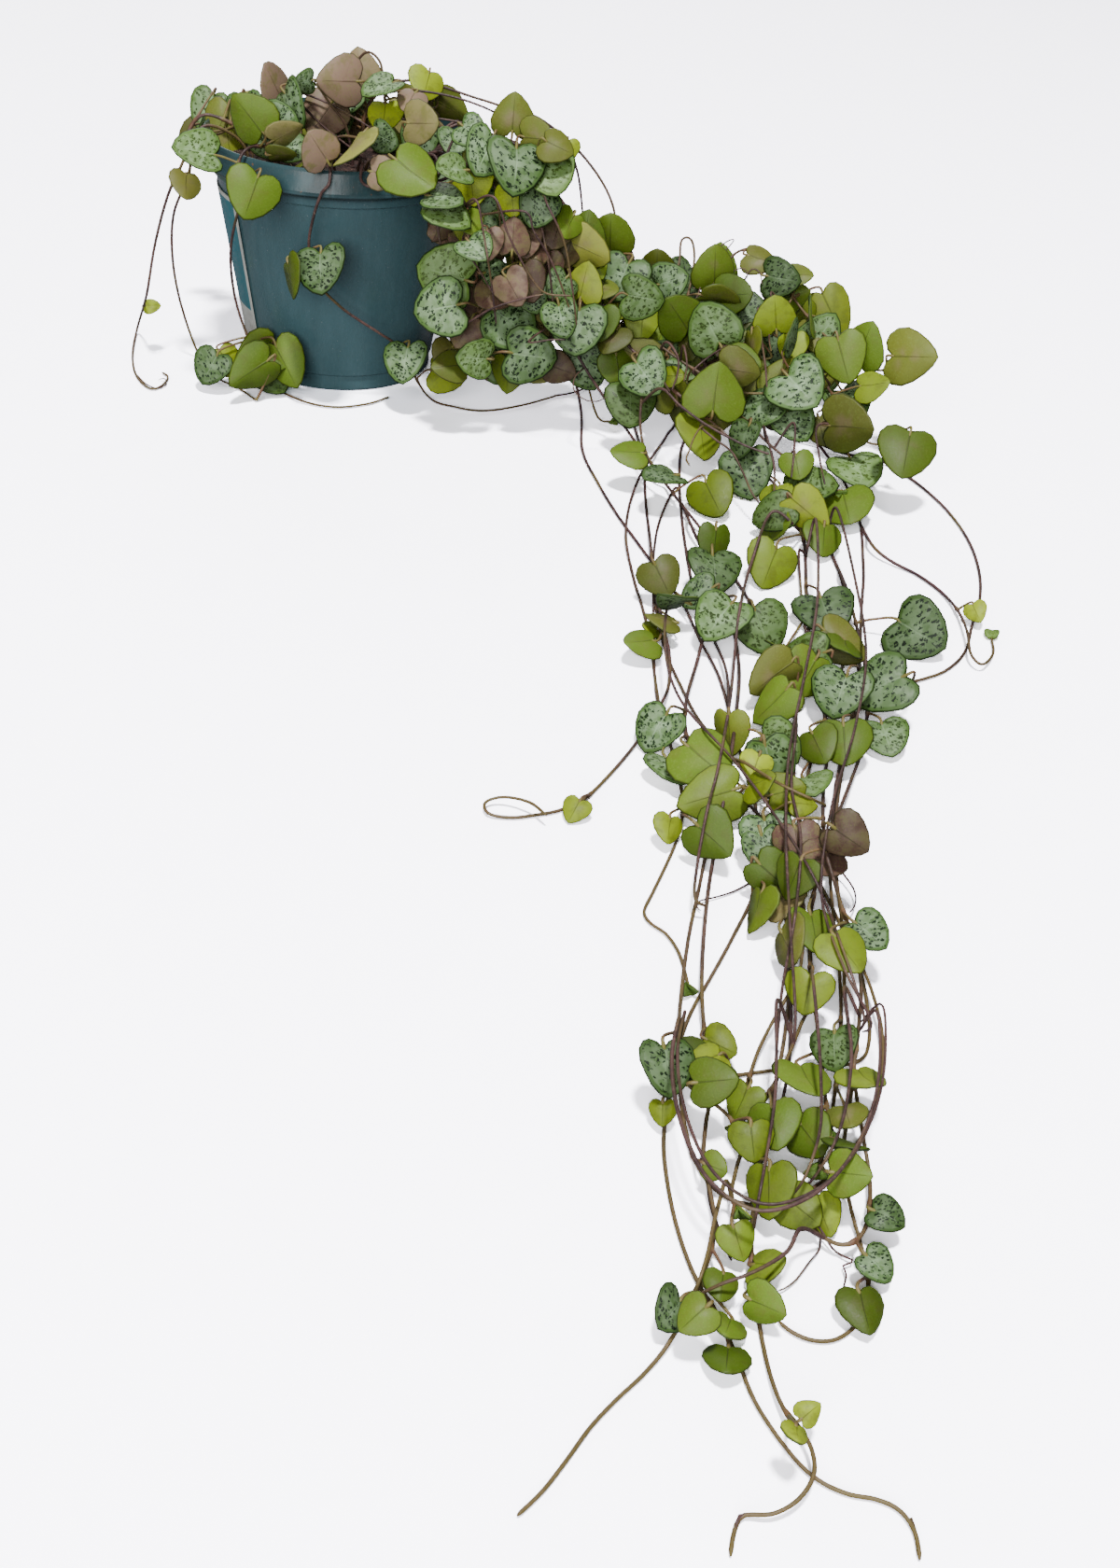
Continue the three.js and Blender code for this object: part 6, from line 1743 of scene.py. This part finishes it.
class HeartsStageSettings(bpy.types.PropertyGroup):
    floor_colour: colour("Floor", "Colour of the plain floor", 138, 137, 143)
    key_power: level("Key light", "Power of the key light", 72.0, unit="POWER")
    fill_power: level("Fill light", "Power of the large soft fill light", 33.0, unit="POWER")
    sky: level("Sky", "Strength of the even light all round", 0.045)
    backdrop: level("Backdrop", "Brightness of the backdrop as it is seen", 5.6)
    paper_gain: level("Paper gain", "How much whiter than paper the floor is seen", 21.5, 1)


SETTINGS = (
    ("hearts_pot", HeartsPotSettings), ("hearts_soil", HeartsSoilSettings),
    ("hearts_label", HeartsLabelSettings), ("hearts_vine", HeartsVineSettings),
    ("hearts_leaf", HeartsLeafSettings), ("hearts_stage", HeartsStageSettings),
)


# ---------- operators ----------

plant = {}


def plan_plant():
    """Lays the stems and finds every leaf's place, once."""
    if plant:
        return plant
    names, stems = laid_stems()
    trees = {}
    for name in names:
        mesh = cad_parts[f"stem_{name}"].data
        trees[name] = kdtree.KDTree(len(mesh.vertices))
        for i, vertex in enumerate(mesh.vertices):
            trees[name].insert(vertex.co, i)
        trees[name].balance()
    leaves = grown_leaves(stems, trees)
    for owner, more in filler_leaves(stems).items():
        leaves.setdefault(owner, []).extend(more)
    hiding = screens([leaf for grown in leaves.values() for leaf in grown])
    plant.update(names=names, leaves=leaves, tips=tip_leaves(stems), stems=stems + laid_runners(stems, hiding))
    return plant


class HEARTS_OT_pot(bpy.types.Operator):
    """Build the nursery pot"""
    bl_idname = "hearts.pot"
    bl_label = "Nursery Pot"

    def execute(self, context):
        settings = context.scene.hearts_pot
        dress(make_pot("pot", settings), [pot_plastic(settings)], "pot_plastic", "nursery_pot")
        return {"FINISHED"}


class HEARTS_OT_soil(bpy.types.Operator):
    """Fill the pot with crumbly soil"""
    bl_idname = "hearts.soil"
    bl_label = "Potting Soil"

    def execute(self, context):
        settings = context.scene.hearts_soil
        dress(make_soil("soil", settings), [potting_soil(settings)], "potting_soil", "potting_soil")
        return {"FINISHED"}


class HEARTS_OT_label(bpy.types.Operator):
    """Stick the plain label on the pot"""
    bl_idname = "hearts.label"
    bl_label = "Label"

    def execute(self, context):
        settings = context.scene.hearts_label
        dress(make_label("label", settings), [label_card(settings)], "label", "pot_label")
        return {"FINISHED"}


class HEARTS_OT_vines(bpy.types.Operator):
    """Lay the wiry stems with their joints and leaf stalks"""
    bl_idname = "hearts.vines"
    bl_label = "Vines"

    def execute(self, context):
        settings = context.scene.hearts_vine
        plan = plan_plant()
        bark = stem_bark(settings)
        for name in plan["names"]:
            parts = [stem for stem in plan["stems"] if stem["owner"] == name]
            vine = make_vine(f"vine_{name}", parts, plan["leaves"].get(name, []), settings)
            dress(vine, [bark], "leafy_stem", f"stem_{name}")
        return {"FINISHED"}


class HEARTS_OT_leaves(bpy.types.Operator):
    """Hang the heart-shaped leaves on their stalks"""
    bl_idname = "hearts.leaves"
    bl_label = "Leaves"

    def execute(self, context):
        settings = context.scene.hearts_leaf
        plan = plan_plant()
        heart = heart_template()
        heart.data.materials.append(marbled_upper(settings))
        heart.data.materials.append(plain_underside(settings))
        for name in plan["names"]:
            hung = plan["leaves"].get(name, []) + plan["tips"].get(name, [])
            if hung:
                leaves = make_leaves(f"leaves_{name}", heart, hung)
                dress(leaves, [], "leafy_stem", f"stem_{name}")
        bpy.data.objects.remove(heart)
        return {"FINISHED"}


class HEARTS_OT_stage(bpy.types.Operator):
    """Set up the floor, the lights and the camera"""
    bl_idname = "hearts.stage"
    bl_label = "Stage"

    def execute(self, context):
        settings = context.scene.hearts_stage
        floor = added("floor", bpy.ops.mesh.primitive_plane_add, size=12, location=(0, 0, 0))
        floor.data.materials.append(studio_paper(settings))
        add_light("key light", (0.1, -0.9, 2.6), (0.08, -0.2, 0.02), 0.3, settings.key_power)
        add_light("fill light", (-0.3, -2.2, 0.9), (0.05, -0.1, 0.05), 1.6, settings.fill_power)
        add_light("back light", (-0.4, 2.0, 1.3), (0.05, -0.1, 0.05), 1.4, BACK_SHARE * settings.fill_power)
        context.scene.world = soft_room(settings)
        add_camera()
        return {"FINISHED"}


BACK_SHARE = 0.36  # the back light's power as a share of the fill light's


def soft_room(settings):
    """Even light all round, seen as the same near white as the floor."""
    world = bpy.data.worlds.new("soft room")
    world.use_nodes = True
    n = Nodes(world.node_tree)
    background = world.node_tree.nodes["Background"].inputs
    n.put((0.97, 0.98, 1.0), background["Color"])
    n.put(for_camera(n, settings.sky, settings.backdrop), background["Strength"])
    return world


def add_light(name, spot, aim, width, power):
    light = added(name, bpy.ops.object.light_add, type="AREA", location=spot)
    light.rotation_euler = (Vector(aim) - Vector(spot)).to_track_quat("-Z", "Y").to_euler()
    light.data.shape = "DISK"
    light.data.size = width
    light.data.energy = power


def add_camera():
    """The camera stands at the sighting board's eye, with the board's roll."""
    camera = added("camera", bpy.ops.object.camera_add)
    right = plus(times(BOARD_RIGHT, math.cos(ROLL)), BOARD_UP, math.sin(ROLL))
    up = plus(times(BOARD_RIGHT, -math.sin(ROLL)), BOARD_UP, math.cos(ROLL))
    turned = Matrix((right, up, times(BOARD_AHEAD, -1))).transposed().to_4x4()
    camera.matrix_world = Matrix.Translation(times(EYE, MM)) @ turned
    camera.data.lens = BOARD_DISTANCE / BOARD_HEIGHT * FILM
    camera.data.sensor_width = FILM
    bpy.context.scene.camera = camera


class HEARTS_PT_panel(bpy.types.Panel):
    """Lists the plant's pieces and their settings"""
    bl_idname = "HEARTS_PT_panel"
    bl_label = "String of Hearts"
    bl_space_type = "VIEW_3D"
    bl_region_type = "UI"
    bl_category = "Hearts"

    def draw(self, context):
        for operator in OPERATORS:
            self.layout.operator(operator.bl_idname)
        for name, group in SETTINGS:
            box = self.layout.box()
            for key in group.__annotations__:
                box.prop(getattr(context.scene, name), key)


OPERATORS = (HEARTS_OT_pot, HEARTS_OT_soil, HEARTS_OT_label, HEARTS_OT_vines, HEARTS_OT_leaves, HEARTS_OT_stage)
CLASSES = tuple(group for _, group in SETTINGS) + OPERATORS + (HEARTS_PT_panel,)


def register():
    for each in CLASSES:
        bpy.utils.register_class(each)
    for name, group in SETTINGS:
        setattr(bpy.types.Scene, name, bpy.props.PointerProperty(type=group))


def unregister():
    for name, _ in SETTINGS:
        delattr(bpy.types.Scene, name)
    for each in reversed(CLASSES):
        bpy.utils.unregister_class(each)


def main():
    register()
    bpy.ops.hearts.pot()
    bpy.ops.hearts.soil()
    bpy.ops.hearts.label()
    bpy.ops.hearts.vines()
    bpy.ops.hearts.leaves()
    bpy.ops.hearts.stage()


if __name__ == "__main__":
    main()
